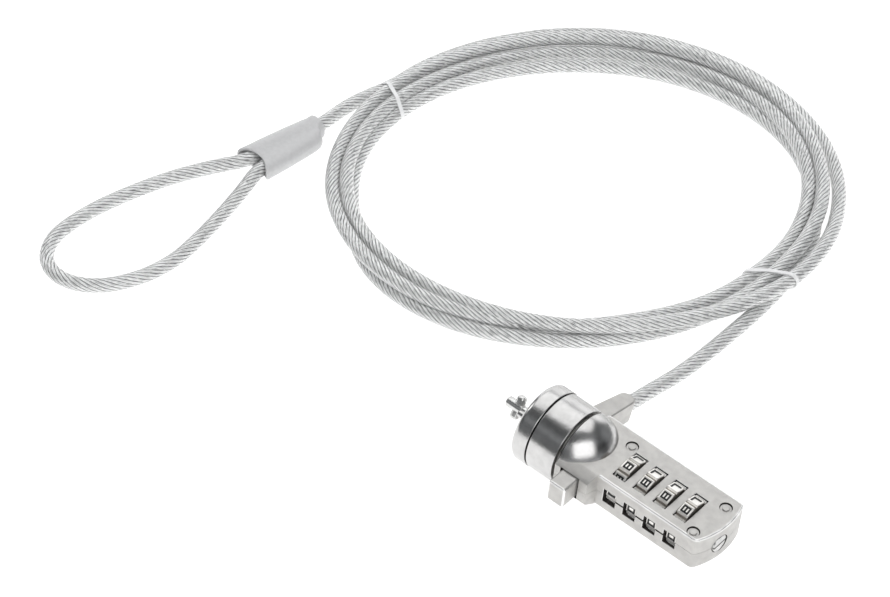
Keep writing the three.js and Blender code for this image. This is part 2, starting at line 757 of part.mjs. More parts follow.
function addFerrule() {
  const { wide, high, length } = FERRULE;
  const half = wide / 2;
  const wall = FERRULE_WALL;
  const collar = FERRULE_COLLAR;
  const sides = FERRULE_SHAPE.map((row) =>
    ferruleRing(length * row.along, row.centre, half * row.wide, (high / 2) * row.high),
  );
  const outside = loft([
    ...sides,
    ferruleRing(length * FERRULE_SHOULDER, ROPE_OFFSET, collar, collar),
    ferruleRing(length, ROPE_OFFSET, collar, collar),
  ]);
  const [mouth, middle, neck] = FERRULE_SHAPE;
  const hollow = loft([
    ferruleRing(-wall, mouth.centre, half - wall, high / 2 - wall),
    ferruleRing(length * middle.along, middle.centre, half * middle.wide - wall, high / 2 - wall),
    ferruleRing(CRIMP.back + GAP, neck.centre, half * neck.wide - wall, high / 2 - wall),
  ]);
  const centre = (y) => new THREE.Vector3(ROPE_OFFSET, y, high / 2);
  const exit = rod(ROPE_R + GAP, centre(CRIMP.back), centre(length + 1), SMALL);
  const sleeve = geometryOf(cut(solid(outside), [hollow, exit]));
  const { wide: across, high: tall } = CRIMP;
  const low = (high - tall) / 2;
  const block = box(-across / 2, across / 2, CRIMP.front, CRIMP.back, low, low + tall);
  const ferrule = new THREE.Group();
  ferrule.position.set(FERRULE.x, FERRULE.y, 0);
  ferrule.rotation.z = FERRULE_TURN;
  lock.add(ferrule);
  piece(ferrule, "ferrule_sleeve", sleeve, GREY_PLASTIC);
  piece(ferrule, "ferrule_crimp", block, STEEL);
}

// A point in the ferrule, from across it, along it and the table's own height.
function ferrulePoint(across, along) {
  const point = new THREE.Vector3(across, along, FERRULE.high / 2);
  point.applyAxisAngle(Z_AXIS, FERRULE_TURN);
  return [point.x + FERRULE.x, point.y + FERRULE.y, point.z];
}

function addTailAndLoop() {
  const { length } = FERRULE;
  const exit = [
    ferrulePoint(ROPE_OFFSET, length + ROPE_REACH),
    ferrulePoint(ROPE_OFFSET, CRIMP.back + 2 * GAP),
  ];
  ropeTube("cable_tail", [...TAIL_ROUTE, ...exit], 4);
  const legEnd = CRIMP.front - 2 * GAP;
  const start = [ferrulePoint(-LEG.root, legEnd), ferrulePoint(-LEG.mouth, 0.5)];
  const finish = [ferrulePoint(LEG.mouth, 0.5), ferrulePoint(LEG.root, legEnd)];
  ropeTube("cable_loop", [...start, ...LOOP_ROUTE, ...finish], 28);
}

addShells();
addRivets();
addResetScrew();
addFrontCap();
addHub();
addCollar();
addLockBar();
addButton();
addDials();
addSpindle();
addDetentPlate();
addLead();
addCoil();
addFerrule();
addTailAndLoop();

export default lock;
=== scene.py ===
import json
import math

import bmesh
import bpy
from mathutils import Matrix, Vector


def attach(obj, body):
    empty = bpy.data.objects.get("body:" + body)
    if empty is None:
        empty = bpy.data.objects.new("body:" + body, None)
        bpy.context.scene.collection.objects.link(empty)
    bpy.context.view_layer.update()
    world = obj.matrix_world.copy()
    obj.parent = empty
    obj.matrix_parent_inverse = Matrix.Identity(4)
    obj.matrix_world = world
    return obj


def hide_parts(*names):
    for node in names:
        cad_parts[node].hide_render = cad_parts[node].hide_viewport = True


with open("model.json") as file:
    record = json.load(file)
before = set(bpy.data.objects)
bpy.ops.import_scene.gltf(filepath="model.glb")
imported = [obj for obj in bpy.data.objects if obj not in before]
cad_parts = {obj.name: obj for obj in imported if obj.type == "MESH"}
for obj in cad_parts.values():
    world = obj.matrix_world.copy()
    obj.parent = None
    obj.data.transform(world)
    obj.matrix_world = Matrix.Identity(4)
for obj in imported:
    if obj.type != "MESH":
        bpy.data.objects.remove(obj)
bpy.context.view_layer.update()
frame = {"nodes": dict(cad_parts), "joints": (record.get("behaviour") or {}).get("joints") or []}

# The laptop cable lock. The head is drawn in millimetres along its own barrel, with
# x towards the reset screw, y towards the lug and z up, and HEAD puts it in the frame.
# The rope, ties and ferrule are drawn in metres, straight in the frame.

scene = bpy.context.scene
nodes = frame["nodes"]

MM = 0.001
# The gap that parts inside the head keep between them, in millimetres.
GAP = 0.3
SWIVEL = next(joint for joint in frame["joints"] if joint["name"] == "body_swivel")
TILT = math.atan2(-SWIVEL["axis"][2], SWIVEL["axis"][0])
HEAD = (
    Matrix.Translation(SWIVEL["pos_m"])
    @ Matrix.Rotation(TILT, 4, "Y")
    @ Matrix.Scale(MM, 4)
)
INTO_HEAD = HEAD.inverted()

# Camera and stage, in metres.
CAMERA_PLACE = (0.3591, -0.4938, 0.6116)
CAMERA_AIM = (-0.0795, 0.0249, 0)
CAMERA_LENS_MM = 140.8
FLOOR_HALF = 3
FLOOR_DROP = 0.0003
# Soft boxes: where each stands, what it faces, its two sides and its power in watts.
LIGHTS = {
    "overhead": ((-0.35, 0.45, 1.1), (0, 0, 0), (1.3, 1.1), 5.8),
    "back_wall": ((-0.75, 1.2, 0.45), (0, 0, 0.05), (1.8, 0.8), 5),
    "front_right": ((0.9, -0.7, 1.0), (0, 0, 0), (1.7, 1.2), 11),
    "left": ((-1.3, -0.1, 0.8), (0, 0, 0), (0.4, 0.6), 2.2),
    "fill": ((0.1, -0.3, 1.6), (-0.07, 0.05, 0), (1.5, 1.5), 5),
}
# The one that lights plastic without being mirrored in the metal.
UNMIRRORED = "fill"

# Rope, in metres: the length of one full twist, the mesh's step along it, and how deep
# the valleys between the strands are as a share of the radius.
ROPE_R = 0.002
ROPE_LAY = 0.0238
ROPE_STEP = 0.0014
ROPE_REACH = 0.0015
STRANDS = 12
SIDES_PER_STRAND = 3
VALLEY = 0.03
# Shade and highlight painted across each strand's width, from one valley to the next: dark in the
# valleys, brightest just before the next valley.
STRAND_SHADE_AND_HIGHLIGHT = [
    (0.0, 0.08), (0.2, 0.68), (0.5, 0.8), (0.6, 1.0), (0.8, 1.0), (0.92, 0.12), (1.0, 0.05),
]

# The coil's innermost and outermost strands, as (centre, half axes) of ellipses.
COIL_INNER = (Vector((-0.0789, 0.0807)), (0.0617, 0.0537))
COIL_OUTER = (Vector((-0.0797, 0.0844)), (0.0692, 0.0641))
COIL_TURN = math.radians(40.22)
COIL_STEPS = 40
# Where the strand lies on each turn: degrees, place from inner 0 to outer 1, height in mm.
COIL_LANES = [
    [
        (0, 0.85, 2.4), (15, 0.58, 2.4), (30, 0.25, 2.4), (48, 0.09, 2.4), (75, 0.01, 2.4),
        (105, 0, 2.4), (135, -0.02, 2.4), (165, 0.01, 2.4), (195, 0, 2.4), (222, 0, 2.4),
        (234, 0.2, 2.4), (246, 0.84, 2.4), (258, 1.33, 2.4), (275, 1.46, 2.4), (300, 1.17, 2.4),
        (318, 0.94, 2.4), (337, 0.66, 2.6), (350, 0.56, 3.4),
    ],
    [
        (0, 0.52, 4.8), (15, 0.48, 5.6), (40, 0.42, 5.6), (60, 0.46, 5.6), (80, 0.54, 5.6),
        (110, 0.59, 5.6), (150, 0.62, 5.5), (180, 0.68, 5.0), (210, 0.8, 5.0), (235, 1.08, 5.6),
        (265, 1.24, 5.6), (285, 0.9, 4.6), (302, 0.48, 3.2), (320, 0.11, 2.4), (345, 0, 2.4),
    ],
    [
        (0, -0.14, 2.4), (15, -0.09, 2.6), (32, 0, 4.4), (48, 0.03, 5.6), (66, 0.11, 5.4),
        (85, 0.26, 4.0), (108, 0.37, 3.0), (150, 0.37, 3.0), (180, 0.25, 4.4), (210, 0.22, 5.4),
        (240, 0.34, 5.6), (270, 0.48, 5.6), (300, 0.73, 5.6), (320, 0.87, 5.8), (337, 1.05, 5.9),
        (348, 1.16, 5.8),
    ],
    [
        (0, 1.22, 5.6), (12, 1.14, 5.2), (26, 0.98, 3.2), (45, 0.91, 2.4), (70, 0.87, 2.4),
        (95, 0.96, 2.4), (125, 1.03, 2.4), (155, 1.01, 2.4), (180, 0.99, 2.4),
    ],
]
LEAD_ROUTE = [
    (-0.0143, 0.03, 0.0036),
    (-0.0134, 0.0394, 0.0026),
    (-0.0128, 0.0506, 0.0023),
    (-0.0126, 0.0608, 0.0023),
    (-0.0126, 0.072, 0.0024),
]
TAIL_ROUTE = [
    (-0.1495, 0.0708, 0.0024),
    (-0.1504, 0.0646, 0.0023),
    (-0.1504, 0.0605, 0.0024),
]
LOOP_ROUTE = [
    (-0.1612, 0.0226, 0.0023),
    (-0.1666, 0.0126, 0.00205),
    (-0.1704, 0.0018, 0.00205),
    (-0.173, -0.0086, 0.00205),
    (-0.174, -0.018, 0.00205),
    (-0.1732, -0.026, 0.00205),
    (-0.1694, -0.0324, 0.00205),
    (-0.1636, -0.0356, 0.00205),
    (-0.1572, -0.0354, 0.00205),
    (-0.1512, -0.032, 0.00205),
    (-0.1468, -0.0264, 0.00205),
    (-0.1438, -0.019, 0.00205),
    (-0.1427, -0.0106, 0.00205),
    (-0.1436, -0.0012, 0.00205),
    (-0.1454, 0.0092, 0.00205),
    (-0.1476, 0.0196, 0.0023),
]

TIE_ANGLES = [math.radians(357), math.radians(183)]
TIE_WIDTH = 0.0011
TIE_THICK = 0.0004
# A tie also holds a strand that has left the coil by less than this many turns.
TIE_REACH = 0.02

# Ferrule, in metres, drawn along y from its open mouth.
FERRULE = Matrix.Translation((-0.1525, 0.0297, 0)) @ Matrix.Rotation(math.radians(-8), 4, "Z")
FERRULE_SIDES = 64
FERRULE_LENGTH = 0.0244
FERRULE_HALF_WIDE = 0.0066
FERRULE_HALF_HIGH = 0.0032
FERRULE_WALL = 0.0007
FERRULE_SCOOP = 0.0022
ROPE_OFFSET = -0.001
FERRULE_COLLAR = 0.00315
LEG_ROOT = 0.0026
LEG_MOUTH = 0.0029
# How far along the ferrule the rope passes its crimp, and where the loop begins.
CRIMP_BACK = 0.0196
CRIMP_FRONT = 0.0104
LOOP_MOUTH = 0.0005

# Lock body, in millimetres, as the rest of the head is. The shoulder's slope is (y, z).
BODY_FRONT = 0.5
BODY_NEAR = -7.5
BODY_FAR = 10.1
BODY_HALF = 5.2
BODY_ROUND = 0.5
END_CENTRE = Vector((22, 2.9))
END_R = 21.8
END_CORNER = 0.9
SHOULDER_END = 10.5
SHOULDER_FOOT = 11.3
SHOULDER_SLOPE = [(-7.0, 5.2), (-7.7, 5.1), (-8.7, 4.7), (-9.7, 4.25), (-10.5, 3.85), (-10.8, 3.5)]
DOME_R = 10.45
SHELL_SPLIT = 0.04
RIM = 0.16
PARTING_HALF = 0.27
PARTING_DEPTH = 0.8
# Room round the spindle's spring, and for the detent leaf to give way to a dial.
SPRING_GAP = 0.35
LEAF_TRAVEL = 1

# Front cap, swivel collar and its lug.
CAP_ROUND = 1.6
CAP_BORE = 4.3
CAP_BORE_FRONT = -10.9
COLLAR_BORE = 7.8
EDGE = 0.22
LUG_DROP = math.radians(13)
LUG_ROOT = 8.1
LUG_FRONT = -6.6
LUG_BACK = -0.8
LUG_REACH = 25.3
LUG_HALF = 3.25
LUG_CORNER = 2.4
LUG_TAPER = 1
LUG_TAPER_START = 13
LUG_ROUND = 0.5
LUG_BORE = 2.3
LUG_BORE_FLOOR = 16.2
LUG_BORE_MOUTH = 27
LUG_ROPE_END = 23.5
ROPE_X = -3.3

# Lock bar, its two arms, and the guide pins beside it.
BAR_R = 1.25
BAR_BACK = 8.2
BAR_NOSE = -23.2
BAR_NOSE_R = 1.45
ARM_FRONT = -20.8
ARM_BACK = -18.4
ARM_SPAN = 6.6
ARM_HALF = 1.2
ARM_CORNER = 0.9
ARM_TURN = math.radians(63)
ARM_ROUND = 0.8
PIN_R = 0.9
PIN_GAP = 0.1
PIN_OFFSET = 2.5
PIN_FRONT = -18
PIN_BACK = -11.2

# The button's front and back, its outer face and its inner one; its channel in the shells.
BUTTON = (2.6, 7.6, -15.8, -8)
BUTTON_HALF = 3.25
BUTTON_GAP = 0.4
BUTTON_CORNER = 0.6
BUTTON_ROUND = 0.45
CHANNEL_MOUTH = -12
CHANNEL_END = -4.2
# The spring's bore in the button: its centre in x and z, its radius, its floor and its mouth.
BUTTON_BORE = (5.1, -0.6, 1.5, -12, -7)
# The rack's front and back, its two ends, its underside and its top; the end of its channel.
RACK = (3.6, 6.6, -9, 4.5, 2.35, 3.25)
RACK_CHANNEL_END = 8.3

# Dials, the pockets and side slots they turn in, and their digits.
DIGITS = 10
DIAL_R = 6.75
DIAL_BORE = 3.6
DIAL_FLOOR = 6.2
DIAL_EDGE = 0.15
PANEL_HALF = math.asin(1.5 / DIAL_R)
PANEL_LIFT = 0.02
# Whatever lies no further out than this past the floor counts as groove.
GROOVE_MARGIN = 0.02
POCKET_R = 7.0
POCKET_HALF = 1.9
SLOT_LOW = -2.4
SLOT_HIGH = 1.9
STROKE = 0.42
DIGIT_TALL = 2.2
DIGIT_WIDE = 2
INK_PROUD = 0.05
INK_DEPTH = 0.3
# The digit on top of every dial, and how far each dial has turned past it, in half digits.
DIGIT_ON_TOP = 8
DIAL_TURNS = [0.5, 1, 1, 1]

# Rivets, by (x, y), and the reset screw.
RIVETS = [(11.35, 5.7), (40, 6.1), (38.9, -5.5)]
RIVET_R = 1.5
RIVET_GAP = 0.17
RIVET_DEPTH = 1.2
RIVET_SINK = 0.35
RIVET_BOSS_R = 0.95
RIVET_SHANK_R = 1
RIVET_ROUND = 0.12
SCREW_R = 2.45
SCREW_TIP = 43.7
SCREW_HOLE = 2.65
SCREW_FRONT = 40.3
SCREW_SHANK = 1.6
SCREW_SHANK_R = 1.3
SCREW_GROOVE_DEEP = 0.35
SCREW_GROOVE_HALF = 0.3

# The strokes of each digit, by letter: top, right two, bottom, left two, middle.
STROKES = {
    0: "abcdef", 1: "bc", 2: "abged", 3: "abgcd", 4: "fgbc",
    5: "afgcd", 6: "afgedc", 7: "abc", 8: "abcdefg", 9: "abcdfg",
}


# ---- meshes ----


def as_mesh(work, name):
    """The mesh that a bmesh has become."""
    mesh = bpy.data.meshes.new(name)
    work.to_mesh(mesh)
    work.free()
    return mesh


def added(name, data):
    """A new object in the scene."""
    shown = bpy.data.objects.new(name, data)
    scene.collection.objects.link(shown)
    return shown


def skin(rings, closed=False):
    """A closed mesh over equal rings of points, capped at both ends or closed on itself."""
    work = bmesh.new()
    loops = [[work.verts.new(point) for point in ring] for ring in rings]
    joined = loops + loops[:1] if closed else loops
    for here, there in zip(joined, joined[1:]):
        for i, _ in enumerate(here):
            work.faces.new((here[i - 1], here[i], there[i], there[i - 1]))
    if not closed:
        work.faces.new(loops[0])
        work.faces.new(reversed(loops[-1]))
    bmesh.ops.recalc_face_normals(work, faces=work.faces)
    return as_mesh(work, "skin")


def merged(meshes):
    """Several meshes as one, each face with the finish number it had."""
    work = bmesh.new()
    for mesh in meshes:
        work.from_mesh(mesh)
    return as_mesh(work, "merged")


def painted_slots(mesh, count):
    """Gives the mesh at least as many material slots as it has finishes."""
    for _ in range(count - len(mesh.materials)):
        mesh.materials.append(None)


def painted(mesh, finish):
    """The mesh with every face given one finish number."""
    painted_slots(mesh, finish + 1)
    for face in mesh.polygons:
        face.material_index = finish
    return mesh


def rims_with_painted_highlight(mesh, finish):
    """Gives the rounded rims of a prism that lies flat a finish of their own: a lighter colour that
    paints a highlight along them.
    """
    painted_slots(mesh, finish + 1)
    for face in mesh.polygons:
        if 0.1 < abs(face.normal.z) < 0.99:
            face.material_index = finish
    return mesh


def combined(body, tools, operation):
    """The body joined with or cut by each tool in turn."""
    painted_slots(body, max(len(tool.materials) for tool in tools))
    holder = added("body", body)
    helpers = [added("tool", tool) for tool in tools]
    for helper in helpers:
        modifier = holder.modifiers.new("boolean", "BOOLEAN")
        modifier.operation = operation
        modifier.solver = "MANIFOLD"
        modifier.object = helper
    graph = bpy.context.evaluated_depsgraph_get()
    result = bpy.data.meshes.new_from_object(holder.evaluated_get(graph))
    for thing in [holder, *helpers]:
        bpy.data.objects.remove(thing)
    return result


def inset(outline, distance):
    """A counter-clockwise outline moved inwards by a distance."""
    corners = []
    for i, here in enumerate(outline):
        one = (here - outline[i - 1]).normalized()
        two = (outline[(i + 1) % len(outline)] - here).normalized()
        inward = one.orthogonal() + two.orthogonal()
        corners.append(here + inward * (distance / (1 + one.dot(two))))
    return corners


def prism(outline, low, high, rounding=0.0, place=Matrix.Identity(4)):
    """An outline made solid from low to high along z, its two rims rounded."""
    steps = 3 if rounding else 0
    rims = []
    for i in range(steps + 1):
        angle = math.pi / 2 * i / max(steps, 1)
        rims.append((rounding * (1 - math.sin(angle)), rounding * (1 - math.cos(angle))))
    levels = [(depth, low + rise) for depth, rise in rims]
    levels += [(depth, high - rise) for depth, rise in reversed(rims)]
    rings = []
    for depth, z in levels:
        corners = inset(outline, depth) if depth else outline
        rings.append([place @ Vector((corner.x, corner.y, z)) for corner in corners])
    return skin(rings)


def circle(r, x, segments):
    """A ring of points round the barrel."""
    turn = 2 * math.pi / segments
    return [Vector((x, r * math.sin(turn * i), r * math.cos(turn * i))) for i in range(segments)]


def turned(profile, segments, closed=False):
    """A body turned about the barrel from (x, radius) points."""
    return skin([circle(r, x, segments) for x, r in profile], closed)


def round_outline(x, y, r):
    """A circle of points in the xy plane, counter-clockwise."""
    sides = 40
    turn = 2 * math.pi / sides
    return [Vector((x + r * math.cos(turn * i), y + r * math.sin(turn * i))) for i in range(sides)]


def upright(x, y, r, z0, z1):
    """A round bar along z."""
    return prism(round_outline(x, y, r), z0, z1)


def disc(front, back, r, segments=48):
    """A round bar along the barrel."""
    return turned([(front, r), (back, r)], segments)


def box(x0, x1, y0, y1, z0, z1):
    outline = [Vector((x0, y0)), Vector((x1, y0)), Vector((x1, y1)), Vector((x0, y1))]
    return prism(outline, z0, z1)


def rectangle(x0, x1, y0, y1, r, steps=4):
    """A rectangle with rounded corners, counter-clockwise."""
    middles = [
        (x1 - r, y0 + r, -90),
        (x1 - r, y1 - r, 0),
        (x0 + r, y1 - r, 90),
        (x0 + r, y0 + r, 180),
    ]
    points = []
    for x, y, start in middles:
        for i in range(steps + 1):
            angle = math.radians(start + 90 * i / steps)
            points.append(Vector((x + r * math.cos(angle), y + r * math.sin(angle))))
    return points


def hull(points):
    """The smallest convex mesh round some points."""
    work = bmesh.new()
    for point in points:
        work.verts.new(point)
    bmesh.ops.convex_hull(work, input=work.verts)
    bmesh.ops.recalc_face_normals(work, faces=work.faces)
    return as_mesh(work, "hull")


def moved(mesh, matrix):
    mesh.transform(matrix)
    return mesh


def frames(points):
    """Each point with its heading and a side vector that turns as little as it can."""
    made = []
    side = None
    for i, point in enumerate(points):
        along = points[min(i + 1, len(points) - 1)] - points[max(i - 1, 0)]
        along.normalize()
        if side is None:
            side = along.orthogonal().normalized()
        side = (side - along * side.dot(along)).normalized()
        made.append((point, along, side))
    return made


# ---- materials ----


# Grains of the metal's surface to a metre.
METAL_GRAIN = 1500


def new_material(name):
    """An empty node material with a principled shader, and what is needed to add to it."""
    material = bpy.data.materials.new(name)
    material.use_nodes = True
    tree = material.node_tree
    shader = tree.nodes["Principled BSDF"]
    return material, tree, shader


def ramp(tree, source, low, high, from_low=0.35, from_high=0.65):
    """A node that blends from one colour to another as the source rises."""
    node = tree.nodes.new("ShaderNodeValToRGB")
    node.color_ramp.elements[0].position = from_low
    node.color_ramp.elements[0].color = (*low, 1)
    node.color_ramp.elements[1].position = from_high
    node.color_ramp.elements[1].color = (*high, 1)
    tree.links.new(source, node.inputs["Fac"])
    return node.outputs["Color"]


def stepped(tree, source, tones):
    """A grey that follows a list of (place, tone) as the source goes from 0 to 1."""
    node = tree.nodes.new("ShaderNodeValToRGB")
    stops = node.color_ramp.elements
    for _ in tones[len(stops):]:
        stops.new(0.5)
    for stop, (place, tone) in zip(stops, tones):
        stop.position = place
        stop.color = (tone, tone, tone, 1)
    tree.links.new(source, node.inputs["Fac"])
    return node.outputs["Color"]


def spread(tree, source, low, high):
    """A node that maps a source from 0..1 to low..high."""
    node = tree.nodes.new("ShaderNodeMapRange")
    node.inputs["To Min"].default_value = low
    node.inputs["To Max"].default_value = high
    tree.links.new(source, node.inputs["Value"])
    return node.outputs["Result"]


def noise(tree, scale, detail, stretch=(1, 1, 1), vector=None):
    """Noise in the piece's own space; scale is per metre."""
    mapping = tree.nodes.new("ShaderNodeMapping")
    mapping.inputs["Scale"].default_value = stretch
    if vector is None:
        vector = tree.nodes.new("ShaderNodeTexCoord").outputs["Object"]
    tree.links.new(vector, mapping.inputs["Vector"])
    node = tree.nodes.new("ShaderNodeTexNoise")
    node.inputs["Scale"].default_value = scale
    node.inputs["Detail"].default_value = detail
    tree.links.new(mapping.outputs["Vector"], node.inputs["Vector"])
    return node.outputs["Fac"]


def bump(tree, shader, height, distance):
    """Relief on a shader, with its height in metres."""
    node = tree.nodes.new("ShaderNodeBump")
    node.inputs["Distance"].default_value = distance
    tree.links.new(height, node.inputs["Height"])
    tree.links.new(node.outputs["Normal"], shader.inputs["Normal"])


def cast_metal(name, dark, light, rough, relief, metallic):
    """Metal with a faint cloudiness, a fine grain and an uneven polish."""
    material, tree, shader = new_material(name)
    cloud = noise(tree, METAL_GRAIN * 0.3, 3)
    fine = noise(tree, METAL_GRAIN, 5)
    tree.links.new(ramp(tree, cloud, dark, light), shader.inputs["Base Color"])
    tree.links.new(spread(tree, fine, *rough), shader.inputs["Roughness"])
    shader.inputs["Metallic"].default_value = metallic
    bump(tree, shader, fine, relief)
    return material


def plastic(name, dark, light, rough, grain, relief, clear=0.0):
    """Moulded plastic with a faint unevenness."""
    material, tree, shader = new_material(name)
    fine = noise(tree, grain, 4)
    tree.links.new(ramp(tree, fine, dark, light), shader.inputs["Base Color"])
    tree.links.new(spread(tree, fine, *rough), shader.inputs["Roughness"])
    shader.inputs["Transmission Weight"].default_value = clear
    bump(tree, shader, fine, relief)
    return material


def maths(tree, operation, *values):
    """One step of arithmetic on sources or plain numbers."""
    node = tree.nodes.new("ShaderNodeMath")
    node.operation = operation
    for socket, value in zip(node.inputs, values):
        if isinstance(value, (int, float)):
            socket.default_value = value
        else:
            tree.links.new(value, socket)
    return node.outputs[0]


def rope_material():
    """Bright steel strands laid together, under a clear glossy sheath; the colour carries painted shade
    in the valleys, painted highlight lines and painted glints.
    """
    material, tree, shader = new_material("sheathed_steel_rope")
    place = tree.nodes.new("ShaderNodeUVMap")
    place.uv_map = "lay"
    split = tree.nodes.new("ShaderNodeSeparateXYZ")
    tree.links.new(place.outputs["UV"], split.inputs["Vector"])
    across = maths(tree, "FRACT", maths(tree, "MULTIPLY", split.outputs["X"], STRANDS))
    specks = noise(tree, 1, 3, (45, 520, 1), place.outputs["UV"])
    # Each band paints shade in the strand's valleys and a highlight line beside them.
    band = stepped(tree, across, STRAND_SHADE_AND_HIGHLIGHT)
    shade = maths(tree, "MULTIPLY", band, spread(tree, specks, -0.7, 3))
    # White glints are painted into the colour where this noise peaks.
    sparkle = noise(tree, 1, 2, (70, 640, 1), place.outputs["UV"])
    painted_glints = stepped(tree, sparkle, [(0.56, 0), (0.64, 1)])
    shade = maths(tree, "MAXIMUM", shade, painted_glints)
    colour = ramp(tree, shade, (0.03, 0.032, 0.033), (0.97, 0.975, 0.97), 0.0, 1.0)
    tree.links.new(colour, shader.inputs["Base Color"])
    tree.links.new(spread(tree, specks, 0.2, 0.45), shader.inputs["Roughness"])
    shader.inputs["Metallic"].default_value = 0.5
    shader.inputs["Coat Weight"].default_value = 0.6
    shader.inputs["Coat Roughness"].default_value = 0.15
    bump(tree, shader, shade, 0.0001)
    return material


def make_materials():
    """Each finish by its name: dark, light, (smoothest, roughest), depth of grain, metallic."""
    metals = {
        "nickel": ("satin_nickel", (0.5, 0.49, 0.475), (0.57, 0.56, 0.54), (0.34, 0.46), 0.000012, 0.6),
        # Much lighter than the satin nickel: a highlight painted along rounded rims and window edges,
        # which are also smoother, as polished rims are.
        "edge": ("nickel_rim_painted_highlight", (0.86, 0.85, 0.84), (0.95, 0.95, 0.94), (0.2, 0.3), 0.000008, 0.6),
        "chrome": ("polished_chrome", (0.55, 0.545, 0.54), (0.61, 0.605, 0.6), (0.19, 0.3), 0.00002, 1),
        "plating": ("bright_plating", (0.64, 0.64, 0.63), (0.72, 0.72, 0.71), (0.16, 0.26), 8e-6, 0.9),
        "steel": ("bright_steel", (0.55, 0.55, 0.54), (0.7, 0.7, 0.69), (0.25, 0.4), 0.00001, 1),
        "brass": ("brass", (0.55, 0.4, 0.18), (0.7, 0.53, 0.26), (0.3, 0.45), 0.00001, 1),
        "dial_metal": ("plated_dial", (0.84, 0.82, 0.78), (0.95, 0.93, 0.9), (0.25, 0.4), 0.00001, 0.7),
        # Darker and brownish: shade painted in the narrow grooves between the dial's panels.
        "groove": ("dial_groove_painted_shade", (0.2, 0.18, 0.16), (0.34, 0.31, 0.28), (0.4, 0.6), 0.00002, 1),
        # Near-black: shade painted inside pockets, slots, bores, rivet rings and the parting line.
        "recess": ("recess_painted_shade", (0.012, 0.01, 0.009), (0.035, 0.03, 0.026), (0.7, 0.9), 0.00002, 0),
    }
    made = {key: cast_metal(*values) for key, values in metals.items()}
    ink = (0.008, 0.008, 0.009), (0.02, 0.02, 0.02)
    made["ink"] = plastic("black_ink", *ink, (0.35, 0.5), 3000, 0.000005)
    grey = (0.6, 0.6, 0.605), (0.64, 0.64, 0.645)
    made["grey_plastic"] = plastic("grey_sleeve", *grey, (0.16, 0.26), 900, 0.000006)
    clear = (0.95, 0.955, 0.96), (0.99, 0.99, 0.99)
    made["clear_plastic"] = plastic("clear_tie", *clear, (0.12, 0.25), 800, 0.00001, 0.05)
    made["rope"] = rope_material()
    return made


# ---- pieces ----


def piece(name, mesh, finishes, body, stands_for, smooth=30):
    """Shows a mesh as a piece of the object, riding on a body in place of CAD nodes."""
    mesh.name = name
    painted_slots(mesh, len(finishes))
    for i, finish in enumerate(finishes):
        mesh.materials[i] = materials[finish]
    mesh.shade_smooth()
    mesh.set_sharp_from_angle(angle=math.radians(smooth))
    shown = added(name, mesh)
    weighted = shown.modifiers.new("normals", "WEIGHTED_NORMAL")
    weighted.keep_sharp = True
    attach(shown, body)
    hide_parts(*stands_for)
    return shown


def head_piece(name, mesh, finishes, body, stands_for):
    """A piece of the head, moved from millimetres along the barrel into the frame."""
    return piece(name, moved(mesh, HEAD), finishes, body, stands_for)


def head_box(node):
    """A CAD node's lowest and highest corners, in the head's millimetres."""
    points = [INTO_HEAD @ vertex.co for vertex in nodes[node].data.vertices]
    low = Vector([min(point[axis] for point in points) for axis in range(3)])
    high = Vector([max(point[axis] for point in points) for axis in range(3)])
    return low, high


# ---- camera and stage ----


def add_camera():
    data = bpy.data.cameras.new("camera")
    data.lens = CAMERA_LENS_MM
    data.sensor_width = 36
    data.clip_start = 0.05
    data.clip_end = 50
    camera = added("camera", data)
    camera.location = CAMERA_PLACE
    way = Vector(CAMERA_AIM) - camera.location
    camera.rotation_euler = way.to_track_quat("-Z", "Y").to_euler()
    scene.camera = camera


def add_light(name, place, aim, size, power):
    data = bpy.data.lights.new(name, "AREA")
    data.shape = "RECTANGLE"
    data.size, data.size_y = size
    data.energy = power
    light = added(name, data)
    light.location = place
    light.rotation_euler = (Vector(aim) - light.location).to_track_quat("-Z", "Y").to_euler()
    light.visible_glossy = name != UNMIRRORED


def add_floor():
    """A pale floor that glows a little."""
    work = bmesh.new()
    bmesh.ops.create_grid(work, x_segments=8, y_segments=8, size=FLOOR_HALF)
    mesh = as_mesh(work, "floor")
    floor = added("floor", mesh)
    floor.location.z = -FLOOR_DROP
    material, tree, shader = new_material("pale_floor")
    tone = ramp(tree, noise(tree, 3, 2), (0.5, 0.5, 0.5), (0.53, 0.53, 0.53))
    tree.links.new(tone, shader.inputs["Base Color"])
    tree.links.new(tone, shader.inputs["Emission Color"])
    shader.inputs["Emission Strength"].default_value = 1.65
    shader.inputs["Roughness"].default_value = 0.9
    mesh.materials.append(material)


def add_room():
    """Dim walls with soft light and dark patches, for the metal to mirror."""
    world = bpy.data.worlds.new("room")
    world.use_nodes = True
    tree = world.node_tree
    way = tree.nodes.new("ShaderNodeTexCoord").outputs["Generated"]
    patches = noise(tree, 1.6, 2, (1, 1, 2), way)
    walls = ramp(tree, patches, (0.015, 0.016, 0.017), (0.3, 0.31, 0.32), 0.35, 0.7)
    tree.links.new(walls, tree.nodes["Background"].inputs["Color"])
    scene.world = world


def add_stage():
    add_floor()
    add_room()
    for name, values in LIGHTS.items():
        add_light(name, *values)
    scene.view_settings.view_transform = "Standard"


# ---- rope ----


def lug_point(distance):
    """The rope's axis in the lug, at a distance from the barrel, in metres."""
    drop = -distance * math.sin(LUG_DROP)
    return HEAD @ Vector((ROPE_X, distance * math.cos(LUG_DROP), drop))


def ferrule_point(across, along):
    return FERRULE @ Vector((across, along, FERRULE_HALF_HIGH))


def hermite(start, end, start_slope, end_slope, span, t):
    """A cubic from start to end over a span, at a share t of the way."""
    return (
        start * (2 * t**3 - 3 * t**2 + 1)
        + start_slope * span * (t**3 - 2 * t**2 + t)
        + end * (3 * t**2 - 2 * t**3)
        + end_slope * span * (t**3 - t**2)
    )


